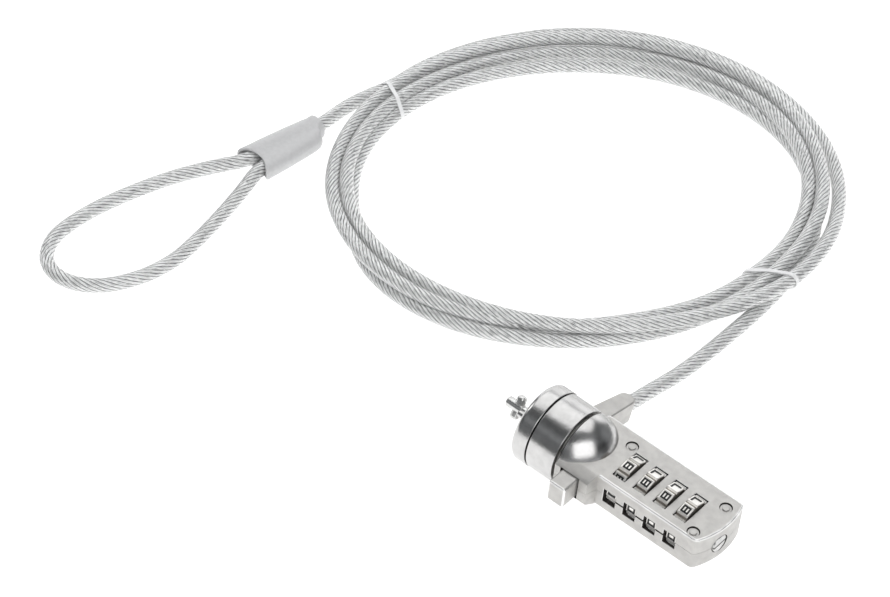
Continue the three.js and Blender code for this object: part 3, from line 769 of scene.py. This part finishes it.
def slopes_at(places, values):
    """The slope of a list of values at each of their places."""
    slopes = []
    for i, _ in enumerate(values):
        before, after = max(i - 1, 0), min(i + 1, len(values) - 1)
        slopes.append((values[after] - values[before]) / (places[after] - places[before]))
    return slopes


def lane_rows():
    """The whole winding as turns so far, and (place, height in metres) at each."""
    turns, lanes = [], []
    for turn, rows in enumerate(COIL_LANES):
        for degrees, place, height in rows:
            turns.append(turn + degrees / 360)
            lanes.append(Vector((place, height * MM)))
    return turns, lanes


def lane_at(turns, lanes, done):
    """The place and height of the strand after so many turns."""
    slopes = slopes_at(turns, lanes)
    i = max(k for k, start in enumerate(turns[:-1]) if start <= done)
    span = turns[i + 1] - turns[i]
    share = min((done - turns[i]) / span, 1)
    return hermite(lanes[i], lanes[i + 1], slopes[i], slopes[i + 1], span, share)


def coil_point(angle, outward, height):
    """A place in the coil: its angle, from the inner lane 0 to the outer 1, and its height."""
    centre = COIL_INNER[0].lerp(COIL_OUTER[0], outward)
    half_long = COIL_INNER[1][0] + (COIL_OUTER[1][0] - COIL_INNER[1][0]) * outward
    half_short = COIL_INNER[1][1] + (COIL_OUTER[1][1] - COIL_INNER[1][1]) * outward
    around = angle - COIL_TURN
    edge = Vector((half_long * math.cos(around), half_short * math.sin(around)))
    edge.rotate(Matrix.Rotation(COIL_TURN, 2))
    return (centre + edge).to_3d() + Vector((0, 0, height))


def coil_route():
    """Every turn of the coil, COIL_STEPS points to a turn."""
    turns, lanes = lane_rows()
    count = round(turns[-1] * COIL_STEPS)
    route = []
    for i in range(count + 1):
        done = turns[-1] * i / count
        route.append(coil_point(2 * math.pi * done, *lane_at(turns, lanes, done)))
    return route


def rope_route():
    """From inside the lug, round the coil, through the ferrule and back into it."""
    route = [lug_point(LUG_ROPE_END), lug_point(LUG_REACH + ROPE_REACH / MM)]
    route += [Vector(place) for place in LEAD_ROUTE]
    route += coil_route()
    route += [Vector(place) for place in TAIL_ROUTE]
    route.append(ferrule_point(ROPE_OFFSET, FERRULE_LENGTH + ROPE_REACH))
    route.append(ferrule_point(ROPE_OFFSET, CRIMP_BACK))
    route.append(ferrule_point(-LEG_ROOT, CRIMP_FRONT))
    route.append(ferrule_point(-LEG_MOUTH, LOOP_MOUTH))
    route += [Vector(place) for place in LOOP_ROUTE]
    route.append(ferrule_point(LEG_MOUTH, LOOP_MOUTH))
    route.append(ferrule_point(LEG_ROOT, CRIMP_FRONT))
    return route


def smoothed(route, step):
    """A smooth curve through the route's points, cut into equal steps."""
    reach = [0.0]
    for a, b in zip(route, route[1:]):
        reach.append(reach[-1] + (b - a).length)
    slopes = slopes_at(reach, route)
    fine = []
    for i in range(len(route) - 1):
        gap = reach[i + 1] - reach[i]
        pieces = max(1, math.ceil(gap / step * 2))
        for k in range(pieces):
            fine.append(hermite(route[i], route[i + 1], slopes[i], slopes[i + 1], gap, k / pieces))
    fine.append(route[-1])
    return resampled(fine, step)


def resampled(points, step):
    """The same line with its points an equal step apart."""
    total = sum((b - a).length for a, b in zip(points, points[1:]))
    count = round(total / step)
    even = [points[0]]
    walked = 0.0
    for a, b in zip(points, points[1:]):
        span = (b - a).length
        while len(even) < count and walked + span >= total * len(even) / count:
            even.append(a.lerp(b, (total * len(even) / count - walked) / span))
        walked += span
    even.append(points[-1])
    return even


def rope_mesh(path):
    """Shallow lobes that turn with the lay, and a map that follows each of them."""
    sides = STRANDS * SIDES_PER_STRAND
    step = (path[1] - path[0]).length
    work = bmesh.new()
    lay = work.loops.layers.uv.new("lay")
    loops = []
    for k, (point, along, side) in enumerate(frames(path)):
        across = along.cross(side)
        twist = 2 * math.pi * k * step / ROPE_LAY
        ring = []
        for i in range(sides):
            angle = 2 * math.pi * i / sides
            r = ROPE_R * (1 - VALLEY * (1 - abs(math.sin(STRANDS * angle / 2))))
            out = side * math.cos(angle + twist) + across * math.sin(angle + twist)
            ring.append(work.verts.new(point + r * out))
        loops.append(ring)
    for k in range(len(loops) - 1):
        for i in range(sides):
            j = (i + 1) % sides
            face = work.faces.new((loops[k][i], loops[k][j], loops[k + 1][j], loops[k + 1][i]))
            face.smooth = True
            spots = [(i, k), (i + 1, k), (i + 1, k + 1), (i, k + 1)]
            for corner, (around, steps) in zip(face.loops, spots):
                corner[lay].uv = (around / sides, steps * step)
    work.faces.new(reversed(loops[0]))
    work.faces.new(loops[-1])
    return as_mesh(work, "rope")


def add_rope():
    path = smoothed(rope_route(), ROPE_STEP)
    length = sum((b - a).length for a, b in zip(path, path[1:]))
    rope = piece(
        "rope", rope_mesh(path), ["rope"], "cable_end",
        ["cable_lead", "cable_coil", "cable_tail", "cable_loop"], 80,
    )
    return rope, path, length


# ---- ties and ferrule ----


def convex_outline(points):
    """The smallest convex outline round some points, counter-clockwise."""
    ordered = sorted(points, key=lambda point: (point.x, point.y))
    halves = []
    for run in (ordered, ordered[::-1]):
        chain = []
        for point in run:
            while len(chain) > 1 and (chain[-1] - chain[-2]).cross(point - chain[-2]) <= 0:
                chain.pop()
            chain.append(point)
        halves.append(chain[:-1])
    return halves[0] + halves[1]


def tie_mesh(angle):
    """A thin band pulled tight round the strands that pass at an angle of the coil."""
    inner = coil_point(angle, 0, 0)
    outer = coil_point(angle, 1, 0)
    outward = (outer - inner).normalized()
    along = Vector((0, 0, 1)).cross(outward)
    turns, lanes = lane_rows()
    strands = []
    done = angle / (2 * math.pi)
    while done <= turns[-1] + TIE_REACH:
        centre = coil_point(angle, *lane_at(turns, lanes, done))
        strands.append(Vector(((centre - inner).dot(outward), centre.z)))
        done += 1
    around = []
    sides = 32
    for centre in strands:
        for i in range(sides):
            turn = 2 * math.pi * i / sides
            around.append(centre + (ROPE_R + TIE_THICK) * Vector((math.cos(turn), math.sin(turn))))
    outline = convex_outline(around)
    inside = inset(outline, TIE_THICK)
    rings = []
    half = TIE_WIDTH / 2
    for corners, shift in ((outline, -half), (outline, half), (inside, half), (inside, -half)):
        rings.append([inner + outward * c.x + Vector((0, 0, c.y)) + along * shift for c in corners])
    return skin(rings, closed=True)


def add_ties():
    for i, angle in enumerate(TIE_ANGLES):
        name = f"coil_tie_{i + 1}"
        mesh = tie_mesh(angle)
        piece(name + "_band", mesh, ["clear_plastic"], "cable_end", [name])


def ferrule_ring(along, centre, half_wide, half_high, scoop=0.0):
    """A squarish oval round the ferrule; scoop sets the middle of the mouth back."""
    ring = []
    for i in range(FERRULE_SIDES):
        angle = 2 * math.pi * i / FERRULE_SIDES
        across = math.copysign(abs(math.cos(angle)) ** 0.75, math.cos(angle))
        up = math.copysign(abs(math.sin(angle)) ** 0.75, math.sin(angle))
        back = along + scoop * (1 - across * across)
        height = FERRULE_HALF_HIGH + up * half_high
        ring.append(FERRULE @ Vector((centre + across * half_wide, back, height)))
    return ring


def ferrule_mesh():
    length, wide, high, wall = FERRULE_LENGTH, FERRULE_HALF_WIDE, FERRULE_HALF_HIGH, FERRULE_WALL
    collar = FERRULE_COLLAR
    bore = ROPE_R * 1.06
    scoop = FERRULE_SCOOP
    outside = [
        (0.0, 0, wide - 0.0002, high - 0.0002, scoop),
        (0.0003, 0, wide, high, scoop),
        (length * 0.3, 0.0002, wide * 0.96, high, scoop / 2),
        (length * 0.6, 0.0004, wide * 0.89, high, 0),
        (length * 0.76, 0.0005, wide * 0.83, high, 0),
        (length * 0.82, 0.0004, wide * 0.79, high * 0.99, 0),
        (length * 0.87, 0.0001, wide * 0.71, high * 0.98, 0),
        (length * 0.9, -0.0003, wide * 0.61, high * 0.97, 0),
        (length * 0.92, ROPE_OFFSET * 0.8, wide * 0.51, high * 0.96, 0),
        (length * 0.935, ROPE_OFFSET, collar, collar, 0),
        (length * 0.985, ROPE_OFFSET, collar, collar, 0),
        (length, ROPE_OFFSET, collar * 0.93, collar * 0.93, 0),
    ]
    inside = [
        (length, ROPE_OFFSET, bore, bore, 0),
        (length * 0.8, ROPE_OFFSET, bore, bore, 0),
        (length * 0.78, 0.0005, wide * 0.81 - wall, high - wall, 0),
        (length * 0.4, 0.0003, wide * 0.93 - wall, high - wall, scoop / 2),
        (0.0, 0, wide - wall, high - wall, scoop),
    ]
    return skin([ferrule_ring(*row) for row in outside + inside], closed=True)


def add_ferrule():
    finish = "grey_plastic"
    return piece("ferrule_body", ferrule_mesh(), [finish], "cable_end", ["ferrule_sleeve"], 40)


# ---- lock body ----

# Of these, the recess finish paints shade inside cuts and the edge finish paints a highlight along rims.
SHELL_FINISHES = ["nickel", "chrome", "recess", "edge"]
SATIN, POLISHED, PAINTED_SHADE, PAINTED_HIGHLIGHT = range(len(SHELL_FINISHES))


def body_plan():
    """The body seen from above: two straight sides and an arched end with eased corners."""
    near = math.asin((BODY_NEAR - END_CENTRE.y) / END_R)
    far = math.asin((BODY_FAR - END_CENTRE.y) / END_R)
    ease = END_CORNER / END_R
    steps = 24

    def on_arc(angle):
        return END_CENTRE + END_R * Vector((math.cos(angle), math.sin(angle)))

    def corner(start, middle, end):
        return [start.lerp(middle, t).lerp(middle.lerp(end, t), t) for t in (0, 0.25, 0.5, 0.75, 1)]

    points = [Vector((BODY_FRONT, BODY_NEAR))]
    tip = on_arc(near)
    points += corner(tip - Vector((END_CORNER, 0)), tip, on_arc(near + ease))
    for i in range(1, steps):
        points.append(on_arc(near + ease + (far - near - 2 * ease) * i / steps))
    tip = on_arc(far)
    points += corner(on_arc(far - ease), tip, tip - Vector((END_CORNER, 0)))
    points.append(Vector((BODY_FRONT, BODY_FAR)))
    return points


def shoulder():
    """The sloping block beside the barrel that the button slides in."""
    points = []
    side = (SHOULDER_FOOT - SHOULDER_END) / (BODY_NEAR - SHOULDER_SLOPE[-1][0])
    for y, z in SHOULDER_SLOPE:
        back = SHOULDER_END + side * (y - SHOULDER_SLOPE[-1][0])
        for x in (BODY_FRONT, back):
            points += [Vector((x, y, z)), Vector((x, y, -z))]
    return hull(points)


def dome():
    """The polished ball end behind the collar."""
    profile = []
    start = math.asin(BODY_FRONT / DOME_R)
    steps = 28
    for i in range(steps + 1):
        angle = start + (math.pi / 2 - start) * min(i / steps, 0.995)
        profile.append((DOME_R * math.sin(angle), DOME_R * math.cos(angle)))
    return turned(profile, 96)


def frustum(x0, x1, y0, y1, z0, z1, flare):
    """A box that widens by a flare as z rises."""
    low = [Vector((x, y, z0)) for x in (x0, x1) for y in (y0, y1)]
    high = [Vector((x, y, z1)) for x in (x0 - flare, x1 + flare) for y in (y0 - flare, y1 + flare)]
    return hull(low + high)


def window_cuts(middle):
    """A dial's pocket and its slot in the near side, painted near-black as shade, and the rims of both
    windows, painted light as a highlight.
    """
    front, back = middle - POCKET_HALF, middle + POCKET_HALF
    reach = math.sqrt(POCKET_R**2 - BODY_HALF**2)
    top = frustum(front, back, -reach, reach, BODY_HALF - RIM, BODY_HALF + RIM, 2 * RIM)
    under = moved(top.copy(), Matrix.Rotation(math.pi, 4, "X"))
    turn = Matrix.Rotation(math.pi / 2, 4, "X")
    rim = frustum(front, back, SLOT_LOW, SLOT_HIGH, -BODY_NEAR - RIM / 2, -BODY_NEAR + RIM / 2, RIM)
    return [
        # The pocket and the slot are painted near-black as shade; the window rims get a painted
        # highlight.
        painted(disc(front, back, POCKET_R, 96), PAINTED_SHADE),
        painted(box(front, back, BODY_NEAR - 1, 0, SLOT_LOW, SLOT_HIGH), PAINTED_SHADE),
        painted(top, PAINTED_HIGHLIGHT),
        painted(under, PAINTED_HIGHLIGHT),
        painted(moved(rim, turn), PAINTED_HIGHLIGHT),
    ]


def rivet_cuts(x, y):
    """A rivet's two pockets, one in each face."""
    cuts = []
    for side in (-1, 1):
        ends = sorted((side * (BODY_HALF - RIVET_DEPTH), side * (BODY_HALF + 1)))
        cuts.append(upright(x, y, RIVET_R + RIVET_GAP, *ends))
    return cuts


def inner_cuts():
    """The button's channel and everything that is hollow along the barrel."""
    front, back, _, _ = BUTTON
    half = BUTTON_HALF + BUTTON_GAP
    rack_front, rack_back, rack_start, _, rack_low, rack_high = RACK
    tip = END_CENTRE.x + END_R
    _, hub_high = head_box("barrel_hub")
    pinion_low, pinion_high = head_box("drive_pinion")
    spindle_low, spindle_high = head_box("spindle")
    coil_low, coil_high = head_box("spindle_spring")
    leaf_low, leaf_high = head_box("detent_plate")
    return [
        box(front - BUTTON_GAP, back + BUTTON_GAP, CHANNEL_MOUTH, CHANNEL_END, -half, half),
        box(
            rack_front - GAP, rack_back + GAP, rack_start, RACK_CHANNEL_END,
            rack_low - GAP, rack_high + GAP,
        ),
        disc(pinion_low.x - GAP, pinion_high.x + GAP, pinion_high.z + GAP),
        disc(hub_high.x, BAR_BACK + GAP, BAR_R + GAP),
        disc(BODY_FRONT - 1, hub_high.x + GAP, hub_high.z + GAP),
        disc(spindle_low.x - GAP, spindle_high.x, spindle_high.z + GAP),
        disc(coil_low.x - 2 * GAP, spindle_high.x, coil_high.z + SPRING_GAP),
        disc(spindle_high.x - GAP, SCREW_TIP, SCREW_SHANK_R + GAP),
        disc(SCREW_FRONT + SCREW_SHANK - GAP, tip + 1, SCREW_HOLE, 64),
        box(
            leaf_low.x - GAP, leaf_high.x + GAP, leaf_low.y - LEAF_TRAVEL, leaf_high.y + GAP,
            leaf_low.z - GAP, leaf_high.z + GAP,
        ),
    ]


def parting_cut(middles):
    """The thin groove that joins the slots along the near side, painted dark as shade."""
    inner = BODY_NEAR + PARTING_DEPTH
    return box(min(middles), max(middles), BODY_NEAR - 1, inner, -PARTING_HALF, PARTING_HALF)


def add_shells(middles):
    """Both halves of the casting, cut from one body along its middle plane."""
    plate = painted(prism(body_plan(), -BODY_HALF, BODY_HALF, BODY_ROUND), SATIN)
    parts = [painted(shoulder(), SATIN), painted(dome(), POLISHED)]
    # The plate's rounded rims get the finish with a painted highlight.
    whole = combined(rims_with_painted_highlight(plate, PAINTED_HIGHLIGHT), parts, "UNION")
    hidden = inner_cuts() + [parting_cut(middles)]
    for x, y in RIVETS:
        hidden += rivet_cuts(x, y)
    # Every hidden cut is painted near-black, as shade.
    cuts = [painted(cut, PAINTED_SHADE) for cut in hidden]
    for middle in middles:
        cuts += window_cuts(middle)
    whole = combined(whole, cuts, "DIFFERENCE")
    far = 2 * (END_CENTRE.x + END_R)
    for name, low, high in (("upper_shell", -far, SHELL_SPLIT), ("lower_shell", -SHELL_SPLIT, far)):
        other_half = painted(box(-far, far, -far, far, low, high), SATIN)
        mesh = combined(whole.copy(), [other_half], "DIFFERENCE")
        head_piece(name + "_casting", mesh, SHELL_FINISHES, "lock_body", [name])


def add_rivets():
    """Flat rivets, each with a raised middle inside a ring that lies lower than the face."""
    inner = BODY_HALF - RIVET_DEPTH
    for i, (x, y) in enumerate(RIVETS):
        parts = [upright(x, y, RIVET_SHANK_R, RIVET_DEPTH / 2 - BODY_HALF, BODY_HALF - RIVET_DEPTH / 2)]
        for radius, top in ((RIVET_R, BODY_HALF - RIVET_SINK), (RIVET_BOSS_R, BODY_HALF)):
            outline = round_outline(x, y, radius)
            parts.append(prism(outline, inner, top, RIVET_ROUND))
            parts.append(prism(outline, -top, -inner, RIVET_ROUND))
        name = f"rivet_{i + 1}"
        head_piece(name + "_turned", merged(parts), ["nickel"], "lock_body", [name])


def add_reset_screw():
    blank = turned(
        [
            (SCREW_FRONT, SCREW_SHANK_R),
            (SCREW_FRONT + SCREW_SHANK, SCREW_SHANK_R),
            (SCREW_FRONT + SCREW_SHANK, SCREW_R),
            (SCREW_TIP - 0.25, SCREW_R),
            (SCREW_TIP - 0.08, SCREW_R - 0.08),
            (SCREW_TIP, SCREW_R - 0.3),
        ],
        64,
    )
    floor = SCREW_TIP - SCREW_GROOVE_DEEP
    past = SCREW_R + 1
    groove = box(floor, SCREW_TIP + 1, -past, past, -SCREW_GROOVE_HALF, SCREW_GROOVE_HALF)
    mesh = combined(blank, [groove], "DIFFERENCE")
    head_piece("reset_screw_slotted", mesh, ["steel"], "reset_screw", ["reset_screw"])


# ---- nose ----


def pin_place(side):
    """Where a guide pin stands, in y and z: the pins lie across the bar's turned arms."""
    angle = ARM_TURN - math.pi / 2
    return side * PIN_OFFSET * math.cos(angle), side * PIN_OFFSET * math.sin(angle)


def add_front_cap():
    low, high = head_box("front_cap")
    r = high.y
    profile = [(low.x, 0.2), (low.x, r - CAP_ROUND)]
    steps = 8
    for i in range(1, steps + 1):
        angle = math.pi / 2 * i / steps
        front = low.x + CAP_ROUND * (1 - math.cos(angle))
        profile.append((front, r - CAP_ROUND * (1 - math.sin(angle))))
    profile += [(high.x - EDGE, r), (high.x - EDGE / 3, r - EDGE / 3), (high.x, r - EDGE), (high.x, 0.2)]
    cuts = [
        disc(low.x - 1, high.x + 1, BAR_R + GAP),
        disc(CAP_BORE_FRONT, high.x + 1, CAP_BORE),
    ]
    for side in (-1, 1):
        y, z = pin_place(side)
        hole = disc(low.x - 1, PIN_BACK + GAP, PIN_R + PIN_GAP)
        cuts.append(moved(hole, Matrix.Translation((0, y, z))))
    mesh = combined(turned(profile, 128), cuts, "DIFFERENCE")
    head_piece("front_cap_polished", mesh, ["chrome"], "lock_body", ["front_cap"])


def add_pins():
    profile = [
        (PIN_FRONT, 0.4),
        (PIN_FRONT + 0.1, 0.65),
        (PIN_FRONT + 0.35, PIN_R),
        (PIN_BACK, PIN_R),
    ]
    for i, side in enumerate((-1, 1)):
        y, z = pin_place(side)
        mesh = moved(turned(profile, 32), Matrix.Translation((0, y, z)))
        name = f"guide_pin_{i + 1}"
        head_piece(name + "_turned", mesh, ["chrome"], "lock_body", [name])


def lug_mesh():
    """The flat lug that the rope leaves by, its end rounded and its front tapered."""
    r = LUG_CORNER
    steps = 8
    points = [Vector((LUG_FRONT, LUG_ROOT)), Vector((LUG_BACK, LUG_ROOT))]
    for x, start in ((LUG_BACK - r, 0), (LUG_FRONT + LUG_TAPER + r, 90)):
        for i in range(steps + 1):
            angle = math.radians(start + 90 * i / steps)
            points.append(Vector((x + r * math.cos(angle), LUG_REACH - r + r * math.sin(angle))))
    points.append(Vector((LUG_FRONT, LUG_TAPER_START)))
    return prism(points, -LUG_HALF, LUG_HALF, LUG_ROUND, Matrix.Rotation(-LUG_DROP, 4, "X"))


def add_collar():
    """The polished ring and its satin lug, bored for the hub, the washer and the rope."""
    low, high = head_box("swivel_collar")
    front, back, r = low.x, high.x, -low.y
    profile = [
        (front, COLLAR_BORE), (front, r - EDGE), (front + EDGE / 3, r - EDGE / 3), (front + EDGE, r),
        (back - EDGE, r), (back - EDGE / 3, r - EDGE / 3), (back, r - EDGE), (back, COLLAR_BORE),
    ]
    ring = painted(turned(profile, 128, closed=True), 0)
    whole = combined(ring, [painted(lug_mesh(), 1)], "UNION")
    drop = Matrix.Rotation(-LUG_DROP, 4, "X") @ Matrix.Rotation(math.pi / 2, 4, "Z")
    rope_hole = disc(LUG_BORE_FLOOR, LUG_BORE_MOUTH, LUG_BORE)
    washer_low, washer_high = head_box("wave_washer")
    cuts = [
        disc(front - 1, 1, COLLAR_BORE, 96),
        disc(washer_low.x - GAP, 1, washer_high.z + GAP, 96),
        moved(rope_hole, drop @ Matrix.Translation((0, -ROPE_X, 0))),
    ]
    mesh = combined(whole, [painted(cut, 0) for cut in cuts], "DIFFERENCE")
    finishes = ["chrome", "nickel"]
    head_piece("swivel_collar_casting", mesh, finishes, "cable_end", ["swivel_collar"])


def add_lock_bar():
    shaft = turned(
        [
            (BAR_NOSE, 0.4 * BAR_NOSE_R),
            (BAR_NOSE + 0.12, 0.7 * BAR_NOSE_R),
            (BAR_NOSE + 0.4, 0.92 * BAR_NOSE_R),
            (BAR_NOSE + 0.8, BAR_NOSE_R),
            (ARM_BACK + 0.1, BAR_NOSE_R),
            (ARM_BACK + 0.3, BAR_R),
            (BAR_BACK, BAR_R),
        ],
        48,
    )
    outline = rectangle(-ARM_SPAN / 2, ARM_SPAN / 2, -ARM_HALF, ARM_HALF, ARM_CORNER, 6)
    turn = Matrix(((0, 0, 1, 0), (1, 0, 0, 0), (0, 1, 0, 0), (0, 0, 0, 1)))
    arms = prism(outline, ARM_FRONT, ARM_BACK, ARM_ROUND, Matrix.Rotation(ARM_TURN, 4, "X") @ turn)
    mesh = combined(shaft, [arms], "UNION")
    head_piece("lock_bar_plated", mesh, ["plating"], "lock_bar", ["lock_bar"])


# ---- button ----


def add_button():
    """The square button with a highlight painted along its rounded edges, the rack behind it and the
    bore for its spring.
    """
    front, back, face, inner = BUTTON
    outline = rectangle(front, back, -BUTTON_HALF, BUTTON_HALF, BUTTON_CORNER)
    sideways = Matrix(((1, 0, 0, 0), (0, 0, 1, 0), (0, 1, 0, 0), (0, 0, 0, 1)))
    block = moved(rims_with_painted_highlight(prism(outline, face, inner, BUTTON_ROUND), 1), sideways)
    whole = combined(block, [box(*RACK)], "UNION")
    x, z, r, floor, mouth = BUTTON_BORE
    place = Matrix.Translation((x, 0, z)) @ Matrix.Rotation(math.pi / 2, 4, "Z")
    mesh = combined(whole, [moved(disc(floor, mouth, r), place)], "DIFFERENCE")
    finishes = ["nickel", "edge"]
    head_piece("push_button_block", mesh, finishes, "push_button", ["push_button"])


# ---- dials ----


def dial_ring(x, panel, floor, first):
    """One section of a dial: ten flat panels, each with a raised rim, and grooves between."""
    flat = panel * math.cos(PANEL_HALF) + PANEL_LIFT
    rim = [(floor, 0.05), (panel - 0.04, 0.012), (panel, -0.01), (panel, -0.035), (flat, -0.055)]
    ring = []
    pitch = 2 * math.pi / DIGITS
    for i in range(DIGITS):
        middle = first + i * pitch
        points = [(floor, middle - pitch / 2)]
        points += [(r, middle - PANEL_HALF - past) for r, past in rim]
        points += [(r, middle + PANEL_HALF + past) for r, past in reversed(rim)]
        ring += [Vector((x, r * math.sin(angle), r * math.cos(angle))) for r, angle in points]
    return ring


def dial_wheel(front, back, first):
    """A dial with its grooves marked as finish 1, which paints shade in them."""
    rows = [
        (front, DIAL_R - DIAL_EDGE, DIAL_FLOOR - DIAL_EDGE),
        (front + DIAL_EDGE, DIAL_R, DIAL_FLOOR),
        (back - DIAL_EDGE, DIAL_R, DIAL_FLOOR),
        (back, DIAL_R - DIAL_EDGE, DIAL_FLOOR - DIAL_EDGE),
    ]
    blank = skin([dial_ring(x, panel, floor, first) for x, panel, floor in rows])
    wheel = combined(blank, [disc(front - 1, back + 1, DIAL_BORE)], "DIFFERENCE")
    painted_slots(wheel, 2)
    for face in wheel.polygons:
        across = math.hypot(face.center.y, face.center.z)
        face.material_index = 1 if across < DIAL_FLOOR + GROOVE_MARGIN else 0
    return wheel


def digit_strokes(digit):
    """Flat bars in (right, up), with the digit's middle at the origin."""
    w, t, s = DIGIT_WIDE / 2, DIGIT_TALL / 2, STROKE
    bars = {
        "a": (-w, w, t - s, t),
        "b": (w - s, w, -s / 2, t),
        "c": (w - s, w, -t, s / 2),
        "d": (-w, w, -t, s - t),
        "e": (-w, s - w, -t, s / 2),
        "f": (-w, s - w, -s / 2, t),
        "g": (-w, w, -s / 2, s / 2),
    }
    return [bars[letter] for letter in STROKES[digit]]


def dial_ink(middle, first):
    """Every digit of a dial, each a little proud of its panel, as finish 2."""
    top = DIAL_R * math.cos(PANEL_HALF) + PANEL_LIFT + INK_PROUD
    bars = []
    for digit in range(DIGITS):
        turn = first + (DIGIT_ON_TOP - digit) * 2 * math.pi / DIGITS
        place = Matrix.Translation((middle, 0, 0)) @ Matrix.Rotation(-turn, 4, "X")
        for left, right, low, high in digit_strokes(digit):
            bar = box(-high, -low, left, right, top - INK_DEPTH, top)
            bars.append(painted(moved(bar, place), 2))
    return bars


def add_dials(middles):
    finishes = ["dial_metal", "groove", "ink"]
    for i, (middle, half_digits) in enumerate(zip(middles, DIAL_TURNS)):
        name = f"dial_{i + 1}"
        low, high = head_box(name)
        first = -math.pi / DIGITS * half_digits
        mesh = merged([dial_wheel(low.x, high.x, first), *dial_ink(middle, first)])
        head_piece(name + "_wheel", mesh, finishes, name, [name])


# ---- what is hidden ----


def finish_inner_parts():
    """The CAD parts that keep their shape take a material of their own."""
    finishes = {
        "steel": [
            "barrel_hub", "wave_washer", "spindle", "spindle_spring", "button_spring",
            "detent_plate", "lug_crimp", "ferrule_crimp",
        ],
        "brass": ["drive_pinion"] + [f"dial_sleeve_{i + 1}" for i in range(4)],
    }
    for finish, names in finishes.items():
        for name in names:
            slots = nodes[name].data.materials
            slots.clear()
            slots.append(materials[finish])


# ---- the scene ----

materials = make_materials()
add_camera()
rope, rope_path, rope_length = add_rope()
add_ties()
ferrule = add_ferrule()
dial_middles = [sum(corner.x for corner in head_box(f"dial_{i + 1}")) / 2 for i in range(4)]
add_shells(dial_middles)
add_rivets()
add_reset_screw()
add_front_cap()
add_pins()
add_collar()
add_lock_bar()
add_button()
add_dials(dial_middles)
finish_inner_parts()
add_stage()
